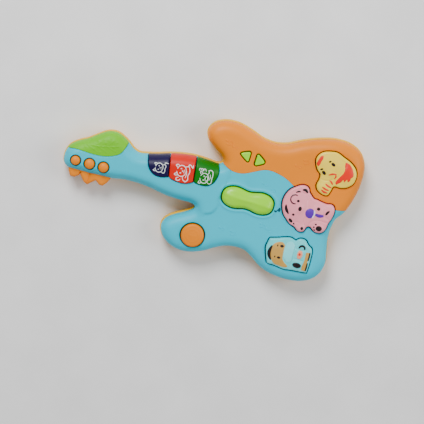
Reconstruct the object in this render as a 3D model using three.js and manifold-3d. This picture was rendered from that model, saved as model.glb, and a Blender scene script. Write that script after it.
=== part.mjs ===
// Toy electric guitar, an electronic music toy for small children. Millimetres.
// It lies on its back: +X runs from the head to the tail, +Y towards the orange horn, +Z out of the face.
// The rear shell and the two front mouldings meet at a parting plane; the buttons stand out of the face.

import * as THREE from 'three';
import { mergeVertices } from 'three/addons/utils/BufferGeometryUtils.js';
import Module from 'manifold-3d';

const wasm = await Module();
wasm.setup();

// ---------------------------------------------------------------- driving dimensions

const GAP = 0.3;             // clearance between neighbouring pieces
const SEAM = 17;             // height of the parting plane above the back
const FACE = 34;             // height of the flat face above the back
const WALL = 2.5;            // wall of every moulding
const KEY_TOP = 38;          // height of the piano keys
const BUTTON_TOP = 38.5;     // height of the animal, round and triangle buttons
const STRUM_TOP = 40.5;      // height of the strum button
const SLOT = 0.45;           // gap between a button and the hole it runs in
const TIDY = 0.02;           // edges shorter than this, left by a cut, are closed up
const FLANGE = 1.6;          // how far a button's flange reaches under the face
const FLANGE_FLOOR = 28;     // underside of every button
const BOARD_FLOOR = 20;      // underside of every circuit board
const BOARD_THICK = 1.6;
const BOARD_TOP = BOARD_FLOOR + BOARD_THICK;
const CEILING = FACE - WALL; // inside of the face

const TUNE = { x: -152, y: 10.3, pitch: 16.5 };
const CELL = { radius: 7.25, length: 49, pitch: 14.9, count: 3 };
const BAY = { x0: 71, x1: 126, y0: -46.5, y1: -0.5, top: 18.3 };
const DOOR = { x0: 67, x1: 129.5, y0: -49.5, y1: 3, floor: 0.3, thick: 2.6 };
const DOOR_SCREW = [63.6, -23.5];
const SPEAKER = { x: 26, y: 14, radius: 25 };
const POWER = { x: -2, y: -32 };
const KEY_FLOOR = 20.6;      // foot of a key's outer wall
const CELL_GAP = 0.5;        // clearance between a battery and the door
const SCREW = { seat: 7.1, length: 17, head: 3, well: 3.4, wellTop: 9, shank: 1.9 };
const DOOR_SCREW_SIZE = { seat: 0.35, length: 7, hole: 1.6, counterbore: 3.5, counterboreTop: 2.2 };

const COLOURS = {
  blue: 0x6ecddc,
  orange: 0xff8c00,
  rim: 0xf0a028,
  lime: 0xa0dc20,
  leaf: 0x8ccd0a,
  navy: 0x23196e,
  red: 0xf03c0a,
  green: 0x00821e,
  yellow: 0xf0d76e,
  pink: 0xf5bec8,
  sky: 0xc8e6f0,
  rubber: 0xd8d8d0,
  board: 0x1f7a3a,
  steel: 0xb4b4b8,
  black: 0x202022,
  cell: 0x3a6a3a,
};

// ---------------------------------------------------------------- outlines

// The body's outline at the parting plane, anticlockwise from the head's lower corner.
const BODY = [
  [-176, -0.5], [-160, -1.5], [-140, -1.5], [-122, -1], [-110, 0.8], [-95, 1], [-80, -0.5], [-68, -3],
  [-55, -5.2], [-40, -6], [-27, -6.4], [-22.2, -8.2], [-21.8, -11.4], [-25, -14.6], [-32, -19],
  [-42, -24.4], [-49, -29.2], [-53.6, -35], [-54.6, -42], [-50, -52], [-40, -59.6], [-28, -63.2],
  [-15, -62.6], [0, -57.6], [12, -50.6], [23, -45.6], [35, -43.6], [46, -44.6], [56, -50.4],
  [68, -58.8], [82, -64], [100, -66.2], [118, -64.4], [131, -58.4], [139, -48.5], [141.8, -36],
  [139.6, -22], [137.2, -8], [137.4, 6], [140, 17], [146.5, 25.5], [152, 38], [156, 54],
  [157.6, 70], [155.6, 86], [148, 98.5], [135, 105], [118, 106.2], [98, 101.8], [80, 95],
  [64, 87.4], [50, 84.8], [36, 86.4], [21, 92], [4, 96.6], [-12, 95.8], [-24, 89.6], [-28.6, 80.5],
  [-26, 72], [-16, 63.4], [-6, 56.2], [-3, 51.4], [-3.6, 47.4], [-8, 45.4], [-19, 46.4], [-34, 47.4],
  [-49, 46.1], [-64, 43.2], [-79, 38.9], [-90, 36.4], [-100, 35.2], [-107, 38], [-114, 43.6],
  [-121, 48], [-130, 51.4], [-140, 50], [-150, 43.8], [-160, 36.5], [-171, 30.6], [-179, 24],
  [-182.6, 15], [-181.6, 4.5],
];

// Where the orange cover meets the blue front shell, from the neck's corner to the tail.
const COLOUR_LINE = [
  [-14, 52], [-6, 50.4], [-1, 47.4], [6, 44.2], [14, 42.8], [22, 43.7], [30, 47], [38, 51], [46, 54.2],
  [54, 54.6], [62, 53.1], [72, 49.9], [82, 44], [94, 36], [112, 30], [132, 28.6], [150, 30.4], [170, 34],
];

const LEAF = [
  [-186, 27], [-176, 24.6], [-165, 23.3], [-150, 22], [-138, 22.8], [-130, 25], [-122, 29], [-118, 34],
  [-115.4, 41], [-114, 48], [-118, 60], [-150, 62], [-186, 44],
];

const KEYS = [
  { name: 'key_1', colour: 'navy', outline: [
    [-88.4, 32], [-86.4, 27.5], [-84.4, 23.5], [-82, 20.5], [-78, 17.7], [-72, 16.5], [-66, 17.3],
    [-61, 19.2],
    [-63.2, 52], [-89.4, 46]], dome: [-72, 22.5] },
  { name: 'key_2', colour: 'red', outline: [
    [-60, 19], [-57, 17.4], [-50, 16], [-44, 15.6], [-38, 16.8], [-31.8, 20], [-34.6, 56], [-62.2, 54]],
    dome: [-46, 22] },
  { name: 'key_3', colour: 'green', outline: [
    [-30.8, 20.4], [-26, 19.2], [-20, 19], [-14, 20.5], [-9, 25], [-6.4, 31], [-5.4, 38], [-6, 45],
    [-9, 56], [-33.6, 56]], dome: [-20, 25] },
];

const CHICK = [
  [99, 80], [100.4, 86], [105, 90.8], [113, 93.4], [121, 94], [130, 90.4], [139, 86.4], [146, 80.6],
  [149, 73], [147.6, 64], [142, 58], [135, 55.4], [126.4, 55], [124.6, 49], [122, 43.4], [116, 43],
  [109.4, 46.6], [107, 52], [108.4, 59], [108, 65], [103.4, 69.4],
];

const BEAR = [
  [85.6, 43], [91, 45.4], [96, 47.8], [100, 43.6], [104, 38.6], [109, 34.6], [117, 34.2], [125, 33],
  [131.4, 33.4], [135.4, 27.4], [134.4, 18], [131.6, 8], [128, -0.2], [121, -2.8], [114.4, 1],
  [109.4, 2.6], [106.4, -2.6], [101, -5.8], [95.4, -2.6], [88, 1.8], [80.4, 7.4], [75.6, 15],
  [74.4, 25], [77.4, 35.6],
];

const PUPPY = [
  [70.4, -22], [68.6, -33], [70.6, -42.4], [74.6, -50], [84, -51.2], [96, -52.2], [108, -50.2],
  [119.6, -50.8], [122.6, -42], [122.8, -29], [120.6, -21.6], [115.6, -18.6], [110.4, -14],
  [104.6, -13.8], [100.4, -16.2], [93, -15.2], [82, -18],
];

const BUTTONS = [
  { name: 'chick_button', colour: 'yellow', outline: CHICK, host: 'orange', top: BUTTON_TOP, dome: [120, 76] },
  { name: 'bear_button', colour: 'pink', outline: BEAR, host: 'both', top: BUTTON_TOP, dome: [104, 20] },
  { name: 'puppy_button', colour: 'sky', outline: PUPPY, host: 'blue', top: BUTTON_TOP, dome: [95, -34] },
  { name: 'strum_button', colour: 'lime', outline: peanut(35, 14.3, 30.4, 12.2, 9.8), host: 'blue',
    top: STRUM_TOP, dome: [35, 14.3] },
  { name: 'round_button', colour: 'orange', outline: circle(-16.8, -41, 13.6, 28), host: 'blue',
    top: BUTTON_TOP, dome: [-16.8, -41] },
  { name: 'triangle_button_left', colour: 'lime', outline: [
    [13.4, 65.2], [14.6, 64], [22.6, 58.2], [24.2, 58.8], [24.6, 68.8], [23, 70], [14.6, 66.6]],
    host: 'orange', top: FACE + 2.5, dome: [21, 64.5], corners: true },
  { name: 'triangle_button_right', colour: 'lime', outline: [
    [42.8, 62], [41.8, 63.6], [34, 69.4], [32.4, 68.8], [31.8, 57.4], [33.2, 56], [41.8, 60.6]],
    host: 'orange', top: FACE + 2.5, dome: [35.6, 63], corners: true },
];

const FRONT_POSTS = [[-160, 30], [-127, 32], [-103, 14], [-52, 5], [-43, -40], [30, -31], [134, -43.5]];
const COVER_POSTS = [[146, 44], [78, 82], [-8, 82]];

const MAIN_BOARD = [
  [2, -1], [60, -1], [60, -50], [124, -50], [126, 20], [139, 36], [139, 50], [151, 60], [151, 78],
  [136, 95], [97, 92], [88, 73], [8, 73], [8, 30], [2, 30],
];
const KEY_BOARD = [[-86, 18], [-63, 18], [-58, 12], [-10, 14], [-10, 38], [-34, 40], [-62, 37], [-86, 30]];
const BOARD_POSTS = [
  { at: [5, 26], side: 'blue' }, { at: [63, -48], side: 'blue' }, { at: [118, -9.5], side: 'blue' },
  { at: [146, 66], side: 'orange' }, { at: [56, 70], side: 'orange' },
  { at: [-54, 12.6], side: 'blue' }, { at: [-14, 15.4], side: 'blue' },
];

function circle(x, y, radius, sides) {
  const ring = [];
  for (let i = 0; i < sides; i += 1) {
    const angle = (i / sides) * 2 * Math.PI;
    ring.push([x + radius * Math.cos(angle), y + radius * Math.sin(angle)]);
  }
  return ring;
}

// A peanut: its half width swells from the waist to two lobes and closes round at each end.
function peanut(x, y, halfLength, halfWidth, halfWaist) {
  const lobe = 0.5 * halfLength;
  const quarter = [];
  for (let i = 0; i <= 4; i += 1) {
    const t = i / 4;
    const swell = 0.5 - 0.5 * Math.cos(Math.PI * t);
    quarter.push([t * lobe, halfWaist + (halfWidth - halfWaist) * swell]);
  }
  for (let i = 1; i <= 6; i += 1) {
    const angle = (i / 6) * 0.5 * Math.PI;
    quarter.push([lobe + (halfLength - lobe) * Math.sin(angle), halfWidth * Math.cos(angle) ** 0.8]);
  }
  quarter[quarter.length - 1][1] = 0;
  const right = quarter.map(([u, v]) => [x + u, y + v]).reverse();
  const rightDown = quarter.slice(1, -1).map(([u, v]) => [x + u, y - v]);
  const left = quarter.slice(1).map(([u, v]) => [x - u, y + v]);
  const leftDown = quarter.slice(0, -1).map(([u, v]) => [x - u, y - v]).reverse();
  return [...right, ...left, ...leftDown, ...rightDown];
}

// ---------------------------------------------------------------- geometry helpers

// A closed smooth curve through the points, with the same number of samples between each two.
function smooth(points, samples) {
  const curve = new THREE.CatmullRomCurve3(
    points.map(([x, y]) => new THREE.Vector3(x, y, 0)), true, 'centripetal');
  const all = curve.getPoints(points.length * samples);
  all.pop();
  return all.map((p) => [p.x, p.y]);
}

function openSmooth(points, samples) {
  const curve = new THREE.CatmullRomCurve3(points.map(([x, y]) => new THREE.Vector3(x, y, 0)));
  return curve.getPoints((points.length - 1) * samples).map((p) => [p.x, p.y]);
}

function distanceTo(outline, x, y) {
  let best = Infinity;
  for (let i = 0; i < outline.length; i += 1) {
    const [ax, ay] = outline[i];
    const [bx, by] = outline[(i + 1) % outline.length];
    const dx = bx - ax;
    const dy = by - ay;
    const t = Math.max(0, Math.min(1, ((x - ax) * dx + (y - ay) * dy) / (dx * dx + dy * dy)));
    best = Math.min(best, Math.hypot(x - ax - t * dx, y - ay - t * dy));
  }
  return best;
}

// Moves every point of an anticlockwise outline inwards by the inset. A run of points that would
// fold over at a tight tip is drawn as a faint bow between its sound neighbours.
function inset(outline, amount) {
  const count = outline.length;
  const moved = outline.map(([x, y], i) => {
    const [px, py] = outline[(i + count - 1) % count];
    const [nx, ny] = outline[(i + 1) % count];
    const inLength = Math.hypot(x - px, y - py);
    const outLength = Math.hypot(nx - x, ny - y);
    const ax = -(y - py) / inLength;
    const ay = (x - px) / inLength;
    const bx = -(ny - y) / outLength;
    const by = (nx - x) / outLength;
    const spread = Math.max(0.4, 1 + ax * bx + ay * by);
    return [x + (amount * (ax + bx)) / spread, y + (amount * (ay + by)) / spread];
  });
  if (amount <= 0) {
    return moved;
  }
  const forward = moved.map(([x, y], i) => {
    const j = (i + 1) % count;
    return (moved[j][0] - x) * (outline[j][0] - outline[i][0])
      + (moved[j][1] - y) * (outline[j][1] - outline[i][1]) > 0;
  });
  const sound = moved.map(([x, y], i) => forward[i] && forward[(i + count - 1) % count]
    && distanceTo(outline, x, y) > 0.99 * amount);
  if (!sound.includes(true)) {
    throw new Error(`an inset of ${amount} leaves nothing of an outline`);
  }
  return moved.map((point, i) => {
    if (sound[i]) {
      return point;
    }
    let before = 1;
    while (!sound[(i + count - before) % count]) {
      before += 1;
    }
    let after = 1;
    while (!sound[(i + after) % count]) {
      after += 1;
    }
    const [ax, ay] = moved[(i + count - before) % count];
    const [bx, by] = moved[(i + after) % count];
    const t = before / (before + after);
    const x = ax + t * (bx - ax);
    const y = ay + t * (by - ay);
    const bulge = (0.3 * t * (1 - t)) / Math.hypot(outline[i][0] - x, outline[i][1] - y);
    return [x + bulge * (outline[i][0] - x), y + bulge * (outline[i][1] - y)];
  });
}

function solid(geometry) {
  const bare = new THREE.BufferGeometry();
  bare.setAttribute('position', geometry.getAttribute('position'));
  if (geometry.index) {
    bare.setIndex(geometry.index);
  }
  const merged = mergeVertices(bare, 1e-4);
  const index = [];
  for (let i = 0; i < merged.index.count; i += 3) {
    const a = merged.index.getX(i);
    const b = merged.index.getX(i + 1);
    const c = merged.index.getX(i + 2);
    if (a !== b && b !== c && c !== a) {
      index.push(a, b, c);
    }
  }
  return closed(merged.getAttribute('position').array, index);
}

function closed(position, index) {
  return new wasm.Manifold(new wasm.Mesh({
    numProp: 3,
    vertProperties: new Float32Array(position),
    triVerts: new Uint32Array(index),
  }));
}

// A solid through a stack of insets of one outline; each ring is [inset, height], from low to high.
function loft(outline, rings) {
  const count = outline.length;
  const position = [];
  const index = [];
  const layers = rings.map(([amount]) => inset(outline, amount));
  layers.forEach((layer, k) => layer.forEach(([x, y]) => position.push(x, y, rings[k][1])));
  for (let k = 0; k + 1 < layers.length; k += 1) {
    for (let i = 0; i < count; i += 1) {
      const a = k * count + i;
      const b = k * count + ((i + 1) % count);
      index.push(a, b, b + count, a, b + count, a + count);
    }
  }
  const last = layers.length - 1;
  const flat = (layer) => layer.map(([x, y]) => new THREE.Vector2(x, y));
  const cap = (layer) => THREE.ShapeUtils.triangulateShape(flat(layer), []);
  cap(layers[0]).forEach(([a, b, c]) => index.push(c, b, a));
  cap(layers[last]).forEach(([a, b, c]) => index.push(a + last * count, b + last * count, c + last * count));
  return closed(position, index);
}

function anticlockwise(points) {
  const flat = points.map(([x, y]) => new THREE.Vector2(x, y));
  return THREE.ShapeUtils.area(flat) < 0 ? [...points].reverse() : points;
}

function prism(points, low, high) {
  return loft(anticlockwise(points), [[0, low], [0, high]]);
}

function block(x0, x1, y0, y1, low, high) {
  return prism([[x0, y0], [x1, y0], [x1, y1], [x0, y1]], low, high);
}

function rod(x, y, radius, low, high, sides = 12) {
  return prism(circle(x, y, radius, sides), low, high);
}

// A round piece standing along Z; the profile is a list of [radius, height] from axis to axis.
function turned(x, y, profile, sides) {
  const points = profile.map(([radius, height]) => new THREE.Vector2(radius, height));
  const geometry = new THREE.LatheGeometry(points, sides);
  geometry.rotateX(0.5 * Math.PI);
  geometry.translate(x, y, 0);
  return solid(geometry);
}

function joined(solids) {
  return solids.reduce((sum, each) => sum.add(each));
}

function cut(from, solids) {
  return solids.reduce((rest, each) => rest.subtract(each), from);
}

// ---------------------------------------------------------------- building the scene graph

const guitar = new THREE.Group();

function add(name, shape, colour, roughness = 0.4, metalness = 0) {
  const result = shape.simplify(TIDY).getMesh();
  const geometry = new THREE.BufferGeometry();
  geometry.setAttribute('position', new THREE.BufferAttribute(new Float32Array(result.vertProperties), 3));
  geometry.setIndex(new THREE.BufferAttribute(new Uint32Array(result.triVerts), 1));
  geometry.computeVertexNormals();
  const material = new THREE.MeshStandardMaterial({ color: COLOURS[colour], roughness, metalness });
  const mesh = new THREE.Mesh(geometry, material);
  mesh.name = name;
  guitar.add(mesh);
  return mesh;
}

const body = smooth(BODY, 1);
const envelope = loft(body, [[0, SEAM + GAP], [0, 23], [1.6, 28], [4.6, 31.8], [9.5, FACE]]);
const cavity = loft(body, [[WALL, SEAM - 1], [WALL, 23], [6, 29], [12, CEILING]]);
const flangeRoom = loft(body, [[WALL + 0.7, SEAM], [WALL + 0.7, 22.6], [6.8, 28.8], [13, CEILING]]);
const keyEnvelope = loft(body, [[0.2, KEY_FLOOR], [0.2, 24], [1.8, 30], [5, 34.6], [9, 37], [12, KEY_TOP]]);
const frontBlank = cut(envelope, [cavity]);

const line = openSmooth(COLOUR_LINE, 2);
const orangeSide = prism([...line, [170, 130], [-60, 130], [-60, 52.4]], 0, 60);
const blueSide = prism([...line.map(([x, y]) => [x, y - GAP]), [170, -90], [-200, -90], [-200, 90],
  [-60, 90], [-60, 52.1]], 0, 60);

// ---------------------------------------------------------------- buttons

function flangeOf(outline, low, high) {
  return loft(outline, [[-FLANGE, low], [-FLANGE, high]]);
}

function buttonOutline(button) {
  return button.corners ? anticlockwise(button.outline) : smooth(anticlockwise(button.outline), 1);
}

function buttonShape(button) {
  const outline = buttonOutline(button);
  const edge = button.corners ? 0.7 : Math.min(3, 0.5 * (button.top - FACE) + 1);
  const cap = loft(outline, [[0, FLANGE_FLOOR], [0, button.top - edge], [0.3 * edge, button.top - 0.3 * edge],
    [edge, button.top]]);
  const flange = flangeOf(outline, FLANGE_FLOOR, CEILING - GAP - 0.7).intersect(flangeRoom);
  return cap.add(flange);
}

function buttonHole(button) {
  return loft(buttonOutline(button), [[-SLOT, FLANGE_FLOOR - 3], [-SLOT, 60]]);
}

function keyShape(key) {
  return prism(key.outline, KEY_FLOOR, KEY_TOP).intersect(keyEnvelope).subtract(keyHollow(key));
}

// The room under a key: its underside sits high over the circuit board, and only its outer wall goes down.
function keyHollow(key) {
  const wide = loft(anticlockwise(key.outline), [[-2, SEAM], [-2, FLANGE_FLOOR]]);
  return wide.intersect(loft(body, [[4.5, SEAM], [4.5, FLANGE_FLOOR]]));
}

function rubberDome(x, y, top) {
  return turned(x, y, [[0, BOARD_TOP + GAP], [4.6, BOARD_TOP + GAP], [4.6, BOARD_TOP + 1.1],
    [2.6, top - 1.6], [2.6, top], [0, top]], 8);
}

BUTTONS.forEach((button) => add(button.name, buttonShape(button), button.colour, 0.35));
BUTTONS.forEach((button) => {
  add(`${button.name}_dome`, rubberDome(...button.dome, FLANGE_FLOOR - GAP), 'rubber', 0.8);
});
KEYS.forEach((key) => add(key.name, keyShape(key), key.colour, 0.3));
KEYS.forEach((key) => add(`${key.name}_dome`, rubberDome(...key.dome, FLANGE_FLOOR - GAP), 'rubber', 0.8));

// ---------------------------------------------------------------- front shell and orange cover

function holePost([x, y], high) {
  return rod(x, y, 3.6, SEAM + GAP, high);
}

function pilotHole([x, y]) {
  return rod(x, y, 1.3, SEAM, SEAM + 9.4, 8);
}

function supportPost([x, y]) {
  return rod(x, y, 2.4, BOARD_TOP + GAP, CEILING + 0.5, 8);
}

// The key pocket is one opening; its edge follows the three keys' lower ends.
const POCKET = [
  [-89, 32], [-87, 27.2], [-84.8, 23.1], [-82.3, 20.1], [-78.2, 17.2], [-72, 16], [-65.8, 16.8],
  [-61.5, 18.3],
  [-57.2, 16.9], [-50, 15.5], [-44, 15.1], [-37.8, 16.3], [-32, 19.2], [-26, 18.7], [-20, 18.5],
  [-13.8, 20], [-8.6, 24.7], [-5.9, 30.8], [-4.9, 38], [-5.5, 45], [-8.5, 60], [-90, 60],
];

function leafSeat(grow) {
  return loft(anticlockwise(LEAF), [[-grow, FACE - 4.5], [-grow, 60]]);
}

function frontShell() {
  const leafFloor = loft(anticlockwise(LEAF), [[-2, FACE - 7], [-2, FACE - 4.4]]).intersect(envelope);
  const posts = FRONT_POSTS.map((at) => holePost(at, at[0] < -110 ? FACE - 6 : CEILING + 0.5));
  const supports = BOARD_POSTS.filter((post) => post.side === 'blue').map((post) => supportPost(post.at));
  const blank = joined([frontBlank, leafFloor, ...posts, ...supports]).intersect(blueSide);
  const holes = BUTTONS.filter((button) => button.host !== 'orange').map(buttonHole);
  const combSlot = block(-176.4, -122.6, -40, 4.1, SEAM - 1, 27.4);
  const domeHoles = [-1, 0, 1].map((i) => rod(TUNE.x + i * TUNE.pitch, TUNE.y, 6.9, 20, 50, 20));
  return cut(blank, [...holes, ...FRONT_POSTS.map(pilotHole), prism(POCKET, 20.3, 60), leafSeat(GAP),
    combSlot, ...domeHoles]);
}

function orangeCover() {
  const posts = COVER_POSTS.map((at) => holePost(at, CEILING + 0.5));
  const supports = BOARD_POSTS.filter((post) => post.side === 'orange').map((post) => supportPost(post.at));
  const blank = joined([frontBlank, ...posts, ...supports]).intersect(orangeSide);
  const holes = BUTTONS.filter((button) => button.host !== 'blue').map(buttonHole);
  return cut(blank, [...holes, ...COVER_POSTS.map(pilotHole)]);
}

function headPanel() {
  return leafSeat(0).intersect(envelope);
}

// Three domes on posts stand on a plate inside the head, and three lobes reach out of its lower edge.
function tunerComb() {
  const plate = block(-174.4, -123.2, 1, 17, 22, 24.4);
  const domes = [-1, 0, 1].map((i) => turned(TUNE.x + i * TUNE.pitch, TUNE.y, [
    [0, 23], [6.3, 23], [6.3, FACE + 0.6], [5, FACE + 2.8], [0, FACE + 4.2]], 16));
  const lobes = [
    [[-175.6, 3], [-174.6, -4], [-171, -10.6], [-165.6, -10.6], [-160.6, -7], [-159.6, 3]],
    [[-160.4, 3], [-160, -6], [-154, -13.6], [-149.4, -16], [-145.6, -12.4], [-140.8, -8.4], [-140.4, 3]],
    [[-141.2, 3], [-140.8, -8.4], [-136, -12.6], [-131.4, -12.6], [-127, -7.4], [-123.6, 0], [-123.6, 3]],
  ].map((outline) => loft(anticlockwise(outline),
    [[1.4, SEAM + 0.8], [0, SEAM + 2.6], [0, 24.8], [1.8, 26.8]]));
  return joined([plate, ...domes, ...lobes]);
}

add('front_shell', frontShell(), 'blue', 0.4);
add('upper_front_cover', orangeCover(), 'orange', 0.4);
add('head_panel', headPanel(), 'leaf', 0.35);
add('tuner_comb', tunerComb(), 'orange', 0.35);

// ---------------------------------------------------------------- rear shell

// The door is a plate with a tab at its left edge for its screw.
const doorOutline = [
  [DOOR.x0, DOOR.y0], [DOOR.x1, DOOR.y0], [DOOR.x1, DOOR.y1], [DOOR.x0, DOOR.y1],
  [DOOR.x0, DOOR_SCREW[1] + 7], [DOOR.x0 - 8, DOOR_SCREW[1] + 7],
  [DOOR.x0 - 8, DOOR_SCREW[1] - 7], [DOOR.x0, DOOR_SCREW[1] - 7],
];

function rearPost([x, y]) {
  return rod(x, y, 4.6, 1, SEAM);
}

function screwHole([x, y]) {
  return rod(x, y, SCREW.well, -1, SCREW.wellTop, 12).add(rod(x, y, SCREW.shank, 8, SEAM + 1, 10));
}

function grilleSlot(i) {
  const half = Math.sqrt((SPEAKER.radius - 5) ** 2 - (i * 6) ** 2);
  const y = SPEAKER.y + i * 6;
  return block(SPEAKER.x - half, SPEAKER.x + half, y - 1.2, y + 1.2, -1, 4);
}

function rearShell() {
  const blank = loft(body, [[7, 0], [3, 1.4], [0.8, 4.4], [0, 9], [0, SEAM]]);
  const hollow = loft(body, [[9, WALL], [WALL, 8], [WALL, SEAM + 1]]);
  const bayBlock = block(BAY.x0 - 1.6, BAY.x1 + 1.6, BAY.y0 - 1.6, BAY.y1 + 1.6, 1, BAY.top + 1.5);
  const doorFrame = loft(doorOutline, [[-2, 1], [-2, 5]]);
  const posts = [...FRONT_POSTS, ...COVER_POSTS].map(rearPost);
  const doorPost = rod(...DOOR_SCREW, 3.6, 1, 9);
  const switchPosts = [-1, 1].map((side) => rod(POWER.x + side * 13, POWER.y, 2.2, 1, 5.2, 8));
  const speakerRing = cut(rod(SPEAKER.x, SPEAKER.y, SPEAKER.radius + 2.6, 1, 8, 28),
    [rod(SPEAKER.x, SPEAKER.y, SPEAKER.radius + 0.6, 0, 9, 28)]);
  const shape = joined([cut(blank, [hollow]), bayBlock, doorFrame, doorPost, speakerRing, ...posts,
    ...switchPosts]);
  return cut(shape, [
    block(BAY.x0, BAY.x1, BAY.y0, BAY.y1, -1, BAY.top),
    loft(doorOutline, [[-SLOT, -1], [-SLOT, DOOR.floor + DOOR.thick + GAP]]),
    rod(...DOOR_SCREW, 1.4, -1, 8, 8),
    ...[...FRONT_POSTS, ...COVER_POSTS].map(screwHole),
    ...[-3, -2, -1, 0, 1, 2, 3].map(grilleSlot),
    block(POWER.x - 7, POWER.x + 7, POWER.y - 3, POWER.y + 3, -1, 4),
  ]);
}

function batteryDoor() {
  const plate = prism(doorOutline, DOOR.floor, DOOR.floor + DOOR.thick);
  return cut(plate, [
    rod(...DOOR_SCREW, DOOR_SCREW_SIZE.hole, -1, 5, 10),
    rod(...DOOR_SCREW, DOOR_SCREW_SIZE.counterbore, -1, DOOR_SCREW_SIZE.counterboreTop, 12),
  ]);
}

// A pan-head screw that points up: its head is below and its cross slot opens downwards.
function screw([x, y], low, length) {
  const shape = turned(x, y, [[0, low], [SCREW.head - 0.6, low], [SCREW.head, low + 0.5],
    [SCREW.head, low + 1.6], [1.05, low + 1.6], [1.05, low + length - 1], [0, low + length]], 10);
  return cut(shape, [block(x - 1.8, x + 1.8, y - 0.3, y + 0.3, low - 1, low + 0.8),
    block(x - 0.3, x + 0.3, y - 1.8, y + 1.8, low - 1, low + 0.8)]);
}

add('rear_shell', rearShell(), 'rim', 0.45);
add('battery_door', batteryDoor(), 'rim', 0.45);
[...FRONT_POSTS, ...COVER_POSTS].forEach((at, i) => {
  add(`case_screw_${i + 1}`, screw(at, SCREW.seat, SCREW.length), 'steel', 0.35, 1);
});
add('door_screw', screw(DOOR_SCREW, DOOR_SCREW_SIZE.seat, DOOR_SCREW_SIZE.length), 'steel', 0.35, 1);

// ---------------------------------------------------------------- power, sound and electronics

function battery(i) {
  const y = 0.5 * (BAY.y0 + BAY.y1) + (i - 1) * CELL.pitch;
  const middle = 0.5 * (BAY.x0 + BAY.x1);
  const facing = i % 2 === 0 ? 1 : -1;
  const half = 0.5 * CELL.length;
  const profile = [[0, -half], [CELL.radius - 0.5, -half], [CELL.radius, -half + 0.5],
    [CELL.radius, half - 2], [CELL.radius - 0.8, half - 1.2], [2.7, half - 1.2], [2.7, half], [0, half]];
  const geometry = new THREE.LatheGeometry(profile.map(([r, h]) => new THREE.Vector2(r, h)), 20);
  geometry.rotateZ(-facing * 0.5 * Math.PI);
  geometry.translate(middle, y, DOOR.floor + DOOR.thick + CELL_GAP + CELL.radius);
  return solid(geometry);
}

// A contact is a bent strip: its plate stands against the bay's end wall and a nose presses the cell.
function contact(x, side, y0, y1) {
  const plate = block(Math.min(x, x + side * 0.6), Math.max(x, x + side * 0.6), y0, y1, 4, 16);
  const nose = block(Math.min(x, x + side * 2.1), Math.max(x, x + side * 2.1), y0 + 2, y0 + 7, 8, 12);
  return plate.add(nose);
}

for (let i = 0; i < CELL.count; i += 1) {
  add(`battery_${i + 1}`, battery(i), 'cell', 0.4);
}
const bayMiddle = 0.5 * (BAY.y0 + BAY.y1);
add('contact_plus', contact(BAY.x1 - GAP, -1, bayMiddle + 10.4, bayMiddle + 20), 'steel', 0.3, 1);
add('contact_bridge_right', contact(BAY.x1 - GAP, -1, bayMiddle - 20, bayMiddle + 5), 'steel', 0.3, 1);
add('contact_bridge_left', contact(BAY.x0 + GAP, 1, bayMiddle - 5, bayMiddle + 20), 'steel', 0.3, 1);
add('contact_minus', contact(BAY.x0 + GAP, 1, bayMiddle - 20, bayMiddle - 10.4), 'steel', 0.3, 1);

function speakerPart(profile, sides) {
  return turned(SPEAKER.x, SPEAKER.y, profile, sides);
}

const basketOutside = speakerPart([[0, 2.9], [SPEAKER.radius, 2.9], [SPEAKER.radius, 4.4], [14, 9.4],
  [0, 9.4]], 28);
const basketInside = speakerPart([[0, 2], [SPEAKER.radius - 3, 2], [SPEAKER.radius - 3, 3.9], [11, 8.2],
  [7, 8.2], [7, 12], [0, 12]], 28);
add('speaker_basket', cut(basketOutside, [basketInside]), 'steel', 0.4, 1);
add('speaker_magnet', speakerPart([[0, 9.7], [15, 9.7], [15, 15.5], [0, 15.5]], 20), 'black', 0.5, 1);
add('speaker_cone', speakerPart([[0, 6.9], [8, 6.9], [SPEAKER.radius - 4, 3.1], [SPEAKER.radius - 4, 3.5],
  [8, 7.5], [6, 7.7], [0, 8.9]], 28), 'black', 0.8);

add('slide_switch', joined([
  block(POWER.x - 16, POWER.x + 16, POWER.y - 3.6, POWER.y + 3.6, 5.5, 6.3),
  block(POWER.x - 9, POWER.x + 9, POWER.y - 3.6, POWER.y + 3.6, 6, 11)]).subtract(
  block(POWER.x - 6.5, POWER.x + 6.5, POWER.y - 2, POWER.y + 2, 5, 9)), 'steel', 0.4, 1);
add('power_slider', block(POWER.x - 6.2, POWER.x + 0.2, POWER.y - 2.4, POWER.y + 2.4, 0.5, 3).add(
  block(POWER.x - 4.6, POWER.x - 1.4, POWER.y - 1.5, POWER.y + 1.5, 2, 8)), 'black', 0.5);

add('main_board', prism(MAIN_BOARD, BOARD_FLOOR, BOARD_TOP), 'board', 0.5);
add('key_board', prism(KEY_BOARD, BOARD_FLOOR, BOARD_TOP), 'board', 0.5);
add('horn_board', rod(-16.8, -41, 13, BOARD_FLOOR, BOARD_TOP, 24), 'board', 0.5);
[['led_left', 18], ['led_right', 52]].forEach(([name, x]) => {
  add(name, turned(x, 14.3, [[0, BOARD_TOP + GAP], [1.9, BOARD_TOP + GAP], [1.5, 24], [1, 25], [0, 25.3]], 12),
    'lime', 0.2);
});

// Each wire keeps to the route that the pieces between its two ends leave free.
function wire(points, radius) {
  const path = new THREE.CatmullRomCurve3(points.map(([x, y, z]) => new THREE.Vector3(x, y, z)));
  const section = new THREE.Shape(circle(0, 0, radius, 8).map(([x, y]) => new THREE.Vector2(x, y)));
  const geometry = new THREE.ExtrudeGeometry(section, { extrudePath: path, steps: 8, bevelEnabled: false });
  return solid(geometry);
}

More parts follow.
